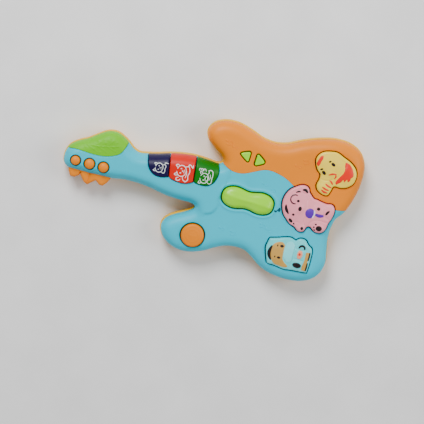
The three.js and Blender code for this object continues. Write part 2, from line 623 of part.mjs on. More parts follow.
const speakerRoute = [[44, 14, 12], [50, 14, 12.6], [53, 12, 15], [53, 11, 18.9]];
const batteryRoute = [[68.8, -10, 13], [65.4, -9.6, 13.6], [63, -8, 15.6], [62.4, -7, 18.9]];
const keyRoute = [[6, 12, 18.2], [3, 12, 16.4], [-8, 15, 15.8], [-15, 18, 16.6], [-17, 20, 18.2]];
const hornRoute = [[8, 4, 18.4], [7, -2, 16.8], [0, -18, 16.2], [-9, -31, 16.8], [-11, -35, 18.4]];
add('wire_speaker', wire(speakerRoute, 0.8), 'red', 0.5);
add('wire_battery', wire(batteryRoute, 0.8), 'black', 0.5);
add('wire_keys', wire(keyRoute, 1.2), 'sky', 0.5);
add('wire_horn', wire(hornRoute, 1), 'sky', 0.5);

// ---------------------------------------------------------------- origin at the middle of the back

const box = new THREE.Box3().setFromObject(guitar);
guitar.position.set(-0.5 * (box.min.x + box.max.x), -0.5 * (box.min.y + box.max.y), -box.min.z);
guitar.updateMatrixWorld(true);

export default guitar;
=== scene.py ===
"""Looks of the toy electric guitar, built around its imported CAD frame. Working units are millimetres."""

import math

import bpy
import numpy as np
from mathutils import Matrix, Vector
from mathutils.geometry import delaunay_2d_cdt


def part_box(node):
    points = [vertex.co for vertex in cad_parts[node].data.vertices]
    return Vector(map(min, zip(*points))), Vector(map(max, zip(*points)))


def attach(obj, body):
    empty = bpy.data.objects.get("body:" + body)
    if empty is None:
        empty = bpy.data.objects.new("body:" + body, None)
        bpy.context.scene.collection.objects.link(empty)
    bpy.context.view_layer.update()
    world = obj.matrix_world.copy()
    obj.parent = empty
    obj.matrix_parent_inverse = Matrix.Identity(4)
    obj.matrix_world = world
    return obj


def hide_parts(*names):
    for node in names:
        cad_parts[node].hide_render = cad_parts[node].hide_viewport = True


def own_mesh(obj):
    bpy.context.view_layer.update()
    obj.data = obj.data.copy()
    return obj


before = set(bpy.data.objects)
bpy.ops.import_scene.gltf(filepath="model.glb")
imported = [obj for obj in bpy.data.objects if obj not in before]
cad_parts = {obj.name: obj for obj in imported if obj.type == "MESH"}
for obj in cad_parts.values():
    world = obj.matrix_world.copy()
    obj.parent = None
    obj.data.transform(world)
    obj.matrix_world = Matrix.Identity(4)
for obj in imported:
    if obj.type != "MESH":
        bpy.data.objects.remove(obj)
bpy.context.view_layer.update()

MM = 0.001
OFF_VERTEX = 1.3e-4               # lifts a slicing plane clear of vertices at whole heights
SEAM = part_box("rear_shell")[0].z / MM + 17.0
DRAWN = (12.5, -20.0)             # the drawing's origin in the row frame

# ---- camera

TILT = math.radians(10.0)          # the camera leans from the face's normal towards the orange horn
ROLL = math.radians(14.5)          # the neck's direction against the picture's horizontal
DISTANCE = 2000.0
MM_PER_PIXEL = 1.155
IMAGE_SIDE = 424
SENSOR = 36.0
AIM = Vector((10.9, -28.9, 34.0))


def add_camera():
    right = Vector((math.cos(ROLL), math.sin(ROLL), 0.0))
    up = Vector((-math.sin(ROLL), math.cos(ROLL), 0.0))
    back = (up * math.sin(TILT) + Vector((0, 0, 1)) * math.cos(TILT)).normalized()
    cam_up = back.cross(right)
    rotation = Matrix((right, cam_up, back)).transposed().to_4x4()
    data = bpy.data.cameras.new("camera")
    data.sensor_width = SENSOR
    data.lens = SENSOR * DISTANCE / (MM_PER_PIXEL * IMAGE_SIDE)
    data.clip_end = 20.0
    camera = bpy.data.objects.new("camera", data)
    camera.matrix_world = Matrix.Translation((AIM + back * DISTANCE) * MM) @ rotation
    bpy.context.scene.collection.objects.link(camera)
    bpy.context.scene.camera = camera


# ---- outlines read from the frame


def middle(node):
    low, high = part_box(node)
    return (low + high) / 2 / MM


def slice_node(node, height):
    """Closed outlines of a node at a height, the largest first, with straight runs reduced to their ends."""
    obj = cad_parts[node]
    obj.data.calc_loop_triangles()
    points = np.array([list(obj.matrix_world @ v.co) for v in obj.data.vertices]) / MM
    height += OFF_VERTEX
    links = {}
    for triangle in obj.data.loop_triangles:
        corners = [points[i] for i in triangle.vertices]
        ends = []
        for p, q in zip(corners, corners[1:] + corners[:1]):
            if (p[2] > height) != (q[2] > height):
                t = (height - p[2]) / (q[2] - p[2])
                ends.append(tuple(np.round(p[:2] + t * (q[:2] - p[:2]), 3)))
        if len(ends) == 2 and ends[0] != ends[1]:
            links.setdefault(ends[0], []).append(ends[1])
            links.setdefault(ends[1], []).append(ends[0])
    loops = []
    while links:
        loop = [next(iter(links))]
        while loop[-1] in links:
            here = loop[-1]
            there = links[here].pop()
            links[there].remove(here)
            for point in (here, there):
                if not links[point]:
                    del links[point]
            if there == loop[0]:
                break
            loop.append(there)
        if len(loop) > 2:
            loops.append(without_straights(np.array(loop)))
    loops = [anticlockwise(loop) for loop in loops if len(loop) > 2]
    return sorted(loops, key=lambda loop: -abs(area(loop)))


def without_straights(loop):
    kept = loop
    for _ in range(3):
        before = kept - np.roll(kept, 1, axis=0)
        after = np.roll(kept, -1, axis=0) - kept
        cross = before[:, 0] * after[:, 1] - before[:, 1] * after[:, 0]
        size = np.linalg.norm(before, axis=1) * np.linalg.norm(after, axis=1)
        turn = np.abs(cross) / np.maximum(size, 1e-9)
        short = np.linalg.norm(after, axis=1) < 0.02
        keep = (turn > 0.012) & ~short
        if keep.all() or keep.sum() < 3:
            break
        kept = kept[keep]
    return kept


def area(loop):
    x, y = loop[:, 0], loop[:, 1]
    return 0.5 * np.sum(x * np.roll(y, -1) - np.roll(x, -1) * y)


def anticlockwise(loop):
    return loop if area(loop) > 0 else loop[::-1].copy()


def resample(points, step, closed=True):
    """Points at equal distances along a line."""
    path = np.vstack([points, points[:1]]) if closed else np.asarray(points, float)
    run = np.concatenate([[0], np.cumsum(np.linalg.norm(np.diff(path, axis=0), axis=1))])
    count = max(3, int(round(run[-1] / step)))
    at = np.linspace(0, run[-1], count, endpoint=False) if closed else np.linspace(0, run[-1], count)
    return np.stack([np.interp(at, run, path[:, k]) for k in range(path.shape[1])], axis=1)


def curved(points, closed=True, corner=48.0, samples=12):
    """A centripetal curve through the points, left sharp where they turn by more than the corner angle."""
    points = np.asarray(points, float)
    count = len(points)
    out = []
    for i in range(count if closed else count - 1):
        p1, p2 = points[i], points[(i + 1) % count]
        p0 = points[i - 1] if closed or i > 0 else 2 * p1 - p2
        p3 = points[(i + 2) % count] if closed or i + 2 < count else 2 * p2 - p1
        if turning(p0, p1, p2) > corner:
            p0 = 2 * p1 - p2
        if turning(p1, p2, p3) > corner:
            p3 = 2 * p2 - p1
        dt = [max(1e-4, np.linalg.norm(b - a)) ** 0.5 for a, b in ((p0, p1), (p1, p2), (p2, p3))]
        m1 = ((p1 - p0) / dt[0] - (p2 - p0) / (dt[0] + dt[1]) + (p2 - p1) / dt[1]) * dt[1]
        m2 = ((p2 - p1) / dt[1] - (p3 - p1) / (dt[1] + dt[2]) + (p3 - p2) / dt[2]) * dt[1]
        for t in np.arange(samples) / samples:
            a = 2 * t**3 - 3 * t**2 + 1
            b = t**3 - 2 * t**2 + t
            c = -2 * t**3 + 3 * t**2
            d = t**3 - t**2
            out.append(a * p1 + b * m1 + c * p2 + d * m2)
    if not closed:
        out.append(points[-1])
    return np.array(out)


def turning(a, b, c):
    u, v = b - a, c - b
    size = np.linalg.norm(u) * np.linalg.norm(v)
    if size < 1e-9:
        return 0.0
    return math.degrees(math.acos(max(-1.0, min(1.0, float(np.dot(u, v)) / size))))


def soften(loop, radius, step=0.3):
    """Rounds the corners of a closed line by averaging along it."""
    fine = resample(loop, step)
    reach = max(1, int(radius / step))
    kernel = np.hanning(2 * reach + 3)[1:-1]
    kernel /= kernel.sum()
    padded = np.vstack([fine[-reach:], fine, fine[:reach]])
    return np.stack([np.convolve(padded[:, k], kernel, "valid") for k in range(2)], axis=1)


# ---- plane geometry


def distance(points, loops):
    """Distance from each point to the nearest of the closed loops."""
    points = np.atleast_2d(points)
    return np.min([distance_to_segments(points, loop, np.roll(loop, -1, axis=0)) for loop in loops], axis=0)


def distance_to_line(points, line):
    return distance_to_segments(np.atleast_2d(points), line[:-1], line[1:])


def distance_to_segments(points, a, b):
    d = b - a
    length = np.maximum((d * d).sum(1), 1e-12)
    best = np.full(len(points), 1e9)
    for start in range(0, len(points), 4000):
        p = points[start:start + 4000, None, :]
        t = np.clip(((p - a) * d).sum(2) / length, 0, 1)
        gap = p - a - t[..., None] * d
        best[start:start + 4000] = np.sqrt((gap * gap).sum(2).min(1))
    return best


def inside(points, loop):
    points = np.atleast_2d(points)
    x, y = points[:, 0], points[:, 1]
    result = np.zeros(len(points), bool)
    for (ax, ay), (bx, by) in zip(loop, np.roll(loop, -1, axis=0)):
        crosses = (ay > y) != (by > y)
        if crosses.any():
            edge = (bx - ax) * (y - ay) / (by - ay if by != ay else 1e-12) + ax
            result ^= crosses & (x < edge)
    return result


def within(points, loops):
    result = inside(points, loops[0])
    for hole in loops[1:]:
        result &= ~inside(points, hole)
    return result


def signed(points, loop):
    """Distance to a loop, positive inside it."""
    return np.where(inside(points, loop), 1.0, -1.0) * distance(points, [loop])


def step_up(value, low, high):
    t = np.clip((value - low) / (high - low), 0, 1)
    return t * t * (3 - 2 * t)


def offset(loop, amount):
    """Moves a closed line outwards, or inwards by a negative amount."""
    ahead, behind = np.roll(loop, -1, axis=0), np.roll(loop, 1, axis=0)
    along = ahead - behind
    along /= np.maximum(np.linalg.norm(along, axis=1), 1e-9)[:, None]
    sign = 1.0 if area(loop) > 0 else -1.0
    return loop + sign * amount * np.stack([along[:, 1], -along[:, 0]], axis=1)


def circle(x, y, radius, count):
    return oval(x, y, radius, radius, count=count)


def oval(x, y, rx, ry, turn=0.0, count=40):
    angle = np.arange(count) / count * 2 * math.pi
    u, v = rx * np.cos(angle), ry * np.sin(angle)
    c, s = math.cos(math.radians(turn)), math.sin(math.radians(turn))
    return np.stack([x + u * c - v * s, y + u * s + v * c], axis=1)


def rectangle(x0, y0, x1, y1):
    return np.array([(x0, y0), (x1, y0), (x1, y1), (x0, y1)])


def stroke(points, width, taper=1.0):
    """The outline of a pen stroke with round ends; a taper under 1 thins both ends."""
    line = resample(curved(points, closed=False, corner=80), 0.35, closed=False)
    along = np.gradient(line, axis=0)
    along /= np.maximum(np.linalg.norm(along, axis=1), 1e-9)[:, None]
    side = np.stack([-along[:, 1], along[:, 0]], axis=1)
    t = np.linspace(0, 1, len(line))
    half = 0.5 * width * (taper + (1 - taper) * np.sin(math.pi * t))[:, None]
    ends = []
    for point, direction, r in ((line[-1], along[-1], half[-1, 0]), (line[0], -along[0], half[0, 0])):
        base = math.atan2(direction[1], direction[0])
        for a in np.linspace(math.pi / 2, -math.pi / 2, 9)[1:-1]:
            ends.append(point + r * np.array([math.cos(base + a), math.sin(base + a)]))
    cap = len(ends) // 2
    right, left = line - side * half, line + side * half
    return anticlockwise(np.vstack([left, ends[:cap], right[::-1], ends[cap:]]))


# ---- mesh making

SMOOTH_ANGLE = 38.0               # edges that turn by less are shaded as one surface
SINK = 0.35                       # how deep a mark reaches into the surface it stands on


def add_mesh(name, vertices, faces, material):
    mesh = bpy.data.meshes.new(name)
    mesh.from_pydata([tuple(v) for v in np.asarray(vertices) * MM], [], faces)
    mesh.validate()
    obj = bpy.data.objects.new(name, mesh)
    bpy.context.scene.collection.objects.link(obj)
    mesh.materials.append(material)
    for polygon in mesh.polygons:
        polygon.use_smooth = True
    mesh.set_sharp_from_angle(angle=math.radians(SMOOTH_ANGLE))
    return obj


def dress(obj, body, slot, nodes=()):
    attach(obj, body)
    if nodes:
        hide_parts(*nodes)
    return obj


def slab(name, loops, top, bottom, material, **detail):
    return add_mesh(name, *slab_mesh(loops, top, bottom, **detail), material)


def slab_mesh(loops, top, bottom, grid=1.6, rings=((0.12, 0.4, 0.9, 1.6),), extra=()):
    """A closed solid over a flat region. loops: its outline, then its holes. top and bottom give the height
    at plane points. rings: insets of each loop that carry points, so that an edge can be rounded there."""
    outer, holes = loops[0], [anticlockwise(loop) for loop in loops[1:]]
    loops = [outer, *holes]
    cloud = []
    for k, loop in enumerate(loops):
        inward = -1.0 if k == 0 else 1.0
        for amount in rings[min(k, 1, len(rings) - 1)]:
            spacing = max(0.4, min(grid, 0.7 + 0.25 * amount))
            moved = offset(resample(loop, spacing), inward * amount)
            cloud.append(moved[(distance(moved, loops) > 0.93 * amount) & within(moved, loops)])
    for line, gaps in extra:
        for gap in gaps:
            moved = offset(resample(line, 0.7), gap)
            cloud.append(moved[within(moved, loops) & (distance(moved, loops) > 0.3)])
    low, high = outer.min(0), outer.max(0)
    across, up = np.meshgrid(np.arange(low[0], high[0], grid), np.arange(low[1], high[1], grid * 0.866))
    across[1::2] += 0.5 * grid
    field = np.stack([across.ravel(), up.ravel()], axis=1)
    field = field[within(field, loops)]
    field = field[distance(field, [outer]) > max(rings[0]) + 0.45 * grid]
    if holes:
        field = field[distance(field, holes) > max(rings[-1]) + 0.45 * grid]
    for line, gaps in extra:
        field = field[distance(field, [line]) > max(abs(g) for g in gaps) + 0.3 * grid]
    cloud.append(field)
    inner = thinned(np.vstack(cloud), 0.22)
    edge = np.vstack(loops)
    edges = []
    first = 0
    for loop in loops:
        count = len(loop)
        edges += [(first + i, first + (i + 1) % count) for i in range(count)]
        first += count
    points = np.vstack([edge, inner])
    result = delaunay_2d_cdt([Vector(p) for p in points], edges, [], 0, 1e-5)
    flat = np.array([tuple(v) for v in result[0]])
    faces = np.array([f for f in result[2] if len(f) == 3])
    centres = flat[faces].mean(1)
    faces = faces[within(centres, loops)]
    used, index = np.unique(faces, return_inverse=True)
    flat = flat[used]
    faces = index.reshape(faces.shape)
    a, b, c = flat[faces[:, 0]], flat[faces[:, 1]], flat[faces[:, 2]]
    turned = (b - a)[:, 0] * (c - a)[:, 1] - (b - a)[:, 1] * (c - a)[:, 0]
    faces[turned < 0] = faces[turned < 0][:, ::-1]
    count = len(flat)
    upper = np.column_stack([flat, top(flat)])
    lower = np.column_stack([flat, bottom(flat)])
    polygons = [tuple(f) for f in faces] + [tuple(f[::-1] + count) for f in faces]
    sides = dict.fromkeys((f[k], f[(k + 1) % 3]) for f in faces for k in range(3))
    polygons += [(q, p, p + count, q + count) for p, q in sides if (q, p) not in sides]
    return np.vstack([upper, lower]), polygons


def relief(name, loops, host, material, rise, grid=1.3, soft=0.22):
    """Printed or moulded marks that stand a little proud of a surface whose height is host."""
    vertices, polygons = [], []
    start = 0
    for loop in loops:
        loop = anticlockwise(resample(loop, 0.45))

        def top(points, edge=loop):
            return host(points) + rise * quarter(distance(points, [edge]) / soft) - 0.02

        found, faces = slab_mesh([loop], top, lambda points: host(points) - SINK, grid=grid,
                                 rings=((0.4 * soft, 1.1 * soft),))
        vertices.append(found)
        polygons += [tuple(int(i) + start for i in face) for face in faces]
        start += len(found)
    return add_mesh(name, np.vstack(vertices), polygons, material)


def thinned(points, gap):
    """Drops points that share a small cell with an earlier one."""
    if not len(points):
        return points
    cell = np.floor(points / gap).astype(np.int64)
    _, first = np.unique(cell[:, 0] * 1000003 + cell[:, 1], return_index=True)
    return points[np.sort(first)]


def lathe(name, x, y, profile, material, sides=48):
    """A turned piece standing along Z. The profile runs from axis to axis, as (radius, height)."""
    vertices, faces, rings = [], [], []
    for radius, height in profile:
        count = sides if radius > 1e-6 else 1
        rings.append(range(len(vertices), len(vertices) + count))
        for angle in (2 * math.pi * i / sides for i in range(count)):
            vertices.append((x + radius * math.cos(angle), y + radius * math.sin(angle), height))
    pairs = list(zip(rings, rings[1:]))
    if profile[0][0] > 1e-6:
        pairs.append((rings[-1], rings[0]))
    for low, high in pairs:
        for i in range(sides):
            j = (i + 1) % sides
            if len(low) == 1:
                faces.append((low[0], high[j], high[i]))
            elif len(high) == 1:
                faces.append((low[i], low[j], high[0]))
            else:
                faces.append((low[i], low[j], high[j], high[i]))
    return add_mesh(name, vertices, faces, material)


# ---- materials


def plastic(name, colour, roughness, coat=0.15, grain=0.02, variation=0.04, specular=0.4):
    """Moulded plastic: fine surface grain, slow flow variation in tone and roughness."""
    material = bpy.data.materials.new(name)
    material.use_nodes = True
    nodes, links = material.node_tree.nodes, material.node_tree.links
    shader = nodes["Principled BSDF"]
    where = nodes.new("ShaderNodeTexCoord")
    flow, fine = nodes.new("ShaderNodeTexNoise"), nodes.new("ShaderNodeTexNoise")
    tone = nodes.new("ShaderNodeValToRGB")
    rough = nodes.new("ShaderNodeMapRange")
    bump = nodes.new("ShaderNodeBump")
    for node, values in (
        (flow, {"Scale": 14.0, "Detail": 3.0}), (fine, {"Scale": 1400.0, "Detail": 4.0}),
        (rough, {"To Min": roughness * 0.85, "To Max": roughness * 1.2}),
        (bump, {"Strength": grain * 5, "Distance": 0.0002}),
        (shader, {"Coat Weight": coat, "Coat Roughness": 0.12, "Specular IOR Level": specular}),
    ):
        for key, value in values.items():
            node.inputs[key].default_value = value
    for stop, at, gain in zip(tone.color_ramp.elements, (0.3, 0.7), (1 - variation, 1 + variation)):
        stop.position = at
        stop.color = (*[min(1.0, c * gain) for c in linear(colour)], 1)
    for source, output, target, socket in (
        (where, "Object", flow, "Vector"), (where, "Object", fine, "Vector"),
        (flow, "Fac", tone, "Fac"), (tone, "Color", shader, "Base Color"),
        (fine, "Fac", rough, "Value"), (rough, "Result", shader, "Roughness"),
        (fine, "Fac", bump, "Height"), (bump, "Normal", shader, "Normal"),
    ):
        links.new(source.outputs[output], target.inputs[socket])
    return material


def metal(name, colour, roughness):
    material = plastic(name, colour, roughness, coat=0.0, grain=0.03, variation=0.06)
    shader = material.node_tree.nodes["Principled BSDF"]
    shader.inputs["Metallic"].default_value = 1.0
    shader.inputs["Specular IOR Level"].default_value = 0.5
    return material


def linear(colour):
    return [((c + 0.055) / 1.055) ** 2.4 if c > 0.04045 else c / 12.92 for c in colour]


def matt(name, colour, roughness=0.42, grain=0.02, specular=0.25):
    return plastic(name + "_plastic", colour, roughness, coat=0.0, grain=grain, specular=specular)


def glossy(name, colour, roughness=0.34, specular=0.4):
    return plastic(name + "_plastic", colour, roughness, coat=0.1, specular=specular)


def ink(name, colour, coat=0.0):
    return plastic(name + "_ink", colour, 0.4, coat)


BLUE = matt("blue", (0.0, 0.76, 0.86), 0.44)
ORANGE = matt("orange", (0.93, 0.52, 0.0), 0.45)
AMBER = matt("amber", (0.96, 0.72, 0.02), 0.45, specular=0.35)
LEAF = matt("leaf", (0.42, 0.76, 0.0), 0.46)
LIME = glossy("lime", (0.60, 0.92, 0.0), 0.3, 0.3)
YELLOW = glossy("yellow", (1.0, 0.86, 0.24))
PINK = glossy("pink", (1.0, 0.60, 0.66))
SKY = glossy("sky", (0.34, 0.86, 0.88))
NAVY = matt("navy", (0.06, 0.0, 0.24), grain=0.008)
RED = matt("red", (0.84, 0.09, 0.0), grain=0.008)
GREEN = matt("green", (0.0, 0.42, 0.03), grain=0.008)
WHITE_INK = ink("white", (0.93, 0.96, 0.95), 0.1)
DARK_INK = ink("dark", (0.10, 0.05, 0.06))
RED_INK = ink("red", (0.92, 0.12, 0.0))
TAN_INK = ink("tan", (0.78, 0.60, 0.28))
PURPLE_INK = ink("purple", (0.36, 0.12, 0.66))
ROSE_INK = ink("rose", (0.98, 0.62, 0.48))
BROWN_INK = ink("brown", (0.12, 0.05, 0.08), 0.1)
TEAL_INK = ink("teal", (0.02, 0.30, 0.38), 0.1)
LILAC_INK = ink("lilac", (0.96, 0.93, 1.0), 0.1)
PALE_INK = ink("pale", (0.46, 0.91, 0.94), 0.1)
BLACK = plastic("black_plastic", (0.10, 0.10, 0.11), 0.5)
BOARD = plastic("board_green", (0.10, 0.42, 0.20), 0.4, coat=0.3, variation=0.15)
RUBBER = plastic("dome_rubber", (0.84, 0.84, 0.80), 0.7, coat=0.0, grain=0.05)
LAMP = plastic("lamp_plastic", (0.90, 0.95, 0.60), 0.15, coat=0.4)
SLEEVE = plastic("cell_sleeve", (0.20, 0.42, 0.24), 0.25, coat=0.5)
CONE = plastic("cone_paper", (0.09, 0.09, 0.09), 0.85, coat=0.0, grain=0.12)
STEEL = metal("steel", (0.72, 0.72, 0.74), 0.32)
MAGNET = metal("magnet", (0.22, 0.22, 0.24), 0.45)
WIRE_RED = plastic("wire_red", (0.75, 0.08, 0.06), 0.5)
WIRE_PALE = plastic("wire_pale", (0.78, 0.86, 0.90), 0.5)

# ---- shared outlines

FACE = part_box("upper_front_cover")[1].z / MM
BODY = resample(soften(curved(slice_node("rear_shell", SEAM - 1)[0]), 1.5), 1.1)
# each button with the radius that its outline's corners are rounded by
SHELL_BUTTONS = {
    "strum_button": 0.8, "round_button": 0.5, "bear_button": 0.7, "puppy_button": 0.7, "chick_button": 1.2,
    "triangle_button_left": 0.8, "triangle_button_right": 0.8,
}

# outlines finer than the frame's solids have, in the drawing's millimetres
FINE_OUTLINE = {
    "bear_button": [
        (84.8, 44), (88, 46.2), (91.6, 47.8), (95.4, 48), (98.8, 46.8), (100.6, 44.6), (101.6, 41.8),
        (104, 39.4), (106.8, 36.8), (109.6, 35.2), (112.6, 35.2), (116, 34.4), (120.4, 33.6), (124.8, 33.2),
        (129.2, 34), (132.4, 33), (134.6, 30), (135.2, 26), (134.8, 21.8), (133.6, 16.8), (131.8, 12.4),
        (131.2, 9), (130.6, 5), (128.6, 1.2), (125.4, -1.4), (121.6, -2.1), (117.9, -1.4), (115, 0.8),
        (112.6, 2.6), (110, 2.6), (108, 0.8), (107.2, -2), (105.8, -4.4), (102.8, -5.7), (99.2, -5.3),
        (96.2, -2.8), (92.8, -0.9), (89.2, 0), (86, 2.4), (82.8, 5.4), (79.8, 8.2), (77.4, 12), (75.4, 17),
        (74.3, 22), (74.3, 27), (75.4, 32), (77.5, 36.8), (80.4, 40.6)],
    "puppy_button": [
        (70.9, -21.6), (76, -20.2), (81, -18.9), (86, -17.1), (90, -16), (94.8, -15.3), (98.8, -16.4),
        (101, -17.4), (102.9, -15.2), (106, -13.6), (109.8, -13.4), (113, -14.8), (115.4, -17.6),
        (117.9, -19.8), (120.8, -21.4), (122.4, -25), (122.9, -33), (122.9, -42), (122.2, -50.6),
        (116, -51.2), (108.5, -51.6), (101, -52.2), (94.8, -52.8), (88.5, -51.8), (81, -50.8), (75.2, -50.4),
        (73, -45.8), (70, -37), (69, -32), (70, -26)],
}


def cap_outline(name, radius):
    """A button's outline: a smooth line, with corners only where the moulding has them."""
    corner = 40.0 if name.startswith("triangle") else 62.0 if name == "puppy_button" else 200.0
    points = np.array(FINE_OUTLINE[name]) + DRAWN if name in FINE_OUTLINE else slice_node(name, 32.0)[0]
    loop = anticlockwise(curved(points, corner=corner))
    return resample(offset(resample(soften(loop, radius), 0.5), -0.15), 0.7)


CAP = {name: cap_outline(name, radius) for name, radius in SHELL_BUTTONS.items()}
HOLE = {name: offset(loop, 1.4 if name == "strum_button" else 1.25) for name, loop in CAP.items()}
RISE = {name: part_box(name)[1].z / MM for name in CAP}
EDGE_LOW = 23.0                   # height of the face's outermost edge
EDGE_WIDE = 12.0                  # how far in from there the face is rounded
WALL = 2.5
CAP_UNDERSIDE = 28.2


def drawn(points):
    """Plane points given in the drawing's millimetres, in the row frame."""
    return np.asarray(points, float) + DRAWN


def run_of(line, kept):
    """The one run of a closed line's points that are kept, in their order."""
    start = int(np.argmax(kept & ~np.roll(kept, 1)))
    return np.roll(line, -start, axis=0)[:kept.sum()]


def clip(loop, body):
    """The part of one closed outline inside another; each crosses the other once in and once out."""
    fine, edge = resample(loop, 0.4), resample(body, 0.4)
    return np.vstack([run_of(fine, inside(fine, body)), run_of(edge, inside(edge, loop))])


def clip_out(loop, hole):
    """A closed outline less a hole that crosses its edge once in and once out."""
    fine, bite = resample(loop, 0.9), anticlockwise(resample(hole, 0.9))[::-1]
    return np.vstack([run_of(fine, ~inside(fine, hole)), run_of(bite, inside(bite, loop))])


def beyond(end, before, reach):
    """The point reached by carrying a line on past its end."""
    return end + (end - before) / np.linalg.norm(end - before) * reach


def seam_line():
    """The line between orange cover and blue shell, from the neck's corner to the tail and past both ends."""
    edge = resample(curved(slice_node("upper_front_cover", 33.0)[0]), 0.8)
    depth = distance(edge, [BODY])
    on_seam = (depth > 8.2) & (signed(edge, HOLE["bear_button"]) < -2.5)
    line = edge[on_seam]
    line = line[np.argsort(line[:, 0])]
    wall = resample(slice_node("upper_front_cover", 22.0)[0], 0.25)
    depth = distance(wall, [BODY])
    wall = wall[(depth > 0.7) & (depth < 1.9) & (wall[:, 1] < 40)]
    left = wall[wall[:, 0] < 60].mean(0)
    right = wall[wall[:, 0] > 60].mean(0)
    line = line[(line[:, 0] < 120) & (line[:, 0] > left[0])]
    behind_bear = drawn([(98, 34.6), (110, 30.4), (122, 28.4), (136, 28.8)])
    line = np.vstack([left, line, behind_bear, right])
    line = resample(curved(resample(line, 6.0, closed=False), closed=False), 0.8, closed=False)
    return np.vstack([beyond(line[0], line[4], 4), line, beyond(line[-1], line[-5], 8)])


SEAM_LINE = seam_line()
FAR = 300.0
NOTCH = SEAM_LINE[0] - [45, 0]
UPPER_SIDE = anticlockwise(np.vstack([
    SEAM_LINE, [[FAR, SEAM_LINE[-1, 1]], [FAR, FAR], [NOTCH[0], FAR], [NOTCH[0], NOTCH[1] + 1]]]))
LOWER_SIDE = anticlockwise(np.vstack([
    SEAM_LINE - [0, 0.3],
    [[FAR, SEAM_LINE[-1, 1] - 0.3], [FAR, -FAR], [-FAR, -FAR], [-FAR, FAR], [NOTCH[0] - 1, FAR],
     [NOTCH[0] - 1, NOTCH[1] + 0.7]]]))
ORANGE_SIDE = resample(clip(UPPER_SIDE, BODY), 1.0)
BLUE_SIDE = resample(clip(LOWER_SIDE, BODY), 1.0)

KEYS = ("key_1", "key_2", "key_3")


def reached_out(loop, near, by):
    """An outline whose points near the body's edge are carried on past it."""
    out = loop.copy()
    for i in np.flatnonzero(distance(loop, [BODY]) < near):
        closest = BODY[np.argmin(np.linalg.norm(BODY - loop[i], axis=1))]
        away = closest - loop[i]
        out[i] += away / max(np.linalg.norm(away), 0.05) * by
    return out


KEY_REACH = {name: soften(curved(reached_out(slice_node(name, 31.0)[0], 5.0, 7.0)), 0.9) for name in KEYS}
SKIRT = 0.45                      # how far keys and leaf hang over the shell's outer wall
SKIRT_FOOT = 17.8                 # how low a key's outer edge reaches
OVERHANG = offset(BODY, SKIRT)
LEAF_REACH = soften(curved(drawn([
    (-190, 20), (-180, 22), (-172, 23.2), (-165, 23), (-150, 22), (-138, 22.8), (-130, 25), (-122, 29),
    (-118, 34), (-115.4, 41), (-113, 50), (-118, 62), (-150, 66), (-190, 48),
])), 1.0)


# ---- heights of the face


def quarter(t):
    """Height of a quarter ellipse, from 0 at its foot to 1 at its crown."""
    return np.sqrt(1 - (1 - np.clip(t, 0, 1)) ** 2)


def lip(gap, radius):
    """How far a rounded edge has dropped at a distance from it."""
    return radius * (1 - quarter(gap / radius))


def bumps(points, swellings):
    """Soft swellings, each (x, y, half length, half width, height) in the drawing's millimetres."""
    z = np.zeros(len(points))
    for x, y, rx, ry, height in swellings:
        reach = np.hypot((points[:, 0] - DRAWN[0] - x) / rx, (points[:, 1] - DRAWN[1] - y) / ry)
        z += height * (1 - step_up(reach, 0.35, 1.1))
    return z


def grooves(points, lines):
    """Soft grooves along open lines, each (points, half width, depth) in the drawing's millimetres."""
    z = np.zeros(len(points))
    for line, half, depth in lines:
        gap = distance_to_line(points, drawn(curved(line, closed=False, samples=5)))
        z -= depth * np.exp(-(gap / half) ** 2)
    return z


PLATEAU = curved([
    (-200, 40), (-200, -27), (-60, -27), (-12, -33), (4, -32.4), (11, -29), (14.6, -22), (14.4, -12),
    (15.4, -4), (18, 8), (19.6, 20), (18, 30), (10, 40),
])
PLATEAU_RISE = 1.9
COLLAR_RISE = 0.9                 # the soft ring round the strum button
INLAY_DEPTH = 2.2                 # how deep the leaf lies in the head
TUNER_X = (-156.0, -139.5, -123.0)
TUNER_Y = -9.7
TUNER_R = (5.4, 5.9, 5.9)
TUNER_HOLES = [circle(x, TUNER_Y, r + 1.1, 44) for x, r in zip(TUNER_X, TUNER_R)]


def shoulder(depth):
    """Height of the plain face at a depth inside its outline: flat, with a wide round edge."""
    return EDGE_LOW + (FACE - EDGE_LOW) * quarter(depth / EDGE_WIDE)


def face(points):
    return shoulder(distance(points, [BODY]))


def blue_top(points):
    depth = distance(points, [BODY])
    z = shoulder(depth)
    z += PLATEAU_RISE * step_up(signed(points, PLATEAU), -1.7, 1.1) * step_up(depth, 1, 9)
    to_strum = distance(points, [HOLE["strum_button"]])
    z += COLLAR_RISE * np.exp(-((to_strum - 2.2) / 1.3) ** 2)
    z -= lip(to_strum, 0.9)
    for name in ("round_button", "bear_button", "puppy_button"):
        z -= lip(distance(points, [HOLE[name]]), 1.1)
    for dome in TUNER_HOLES:
        z -= lip(distance(points, [dome]), 0.9)
    z -= lip(distance(points, [UPPER_SIDE]), 0.7)
    pocket = np.full(len(points), -1e9)
    for loop in KEY_REACH.values():
        pocket = np.maximum(pocket, signed(points, loop))
    z -= np.where(pocket < -0.45, lip(-pocket - 0.45, 0.8), 0)
    z = np.where(pocket > -0.45, np.minimum(z - 2, 18.6 + 5 * step_up(depth, 0.5, 4)), z)
    leaf = signed(points, LEAF_REACH)
    on_head = points[:, 0] < -90
    z -= np.where(on_head & (leaf < -0.3), lip(-leaf - 0.3, 0.6), 0)
    return np.where(on_head & (leaf >= -0.3), z - INLAY_DEPTH, z)


def orange_top(points):
    z = face(points) + 0.35
    for name in ("chick_button", "triangle_button_left", "triangle_button_right", "bear_button"):
        z -= lip(distance(points, [HOLE[name]]), 1.1)
    return z - lip(distance(points, [LOWER_SIDE]), 0.8)


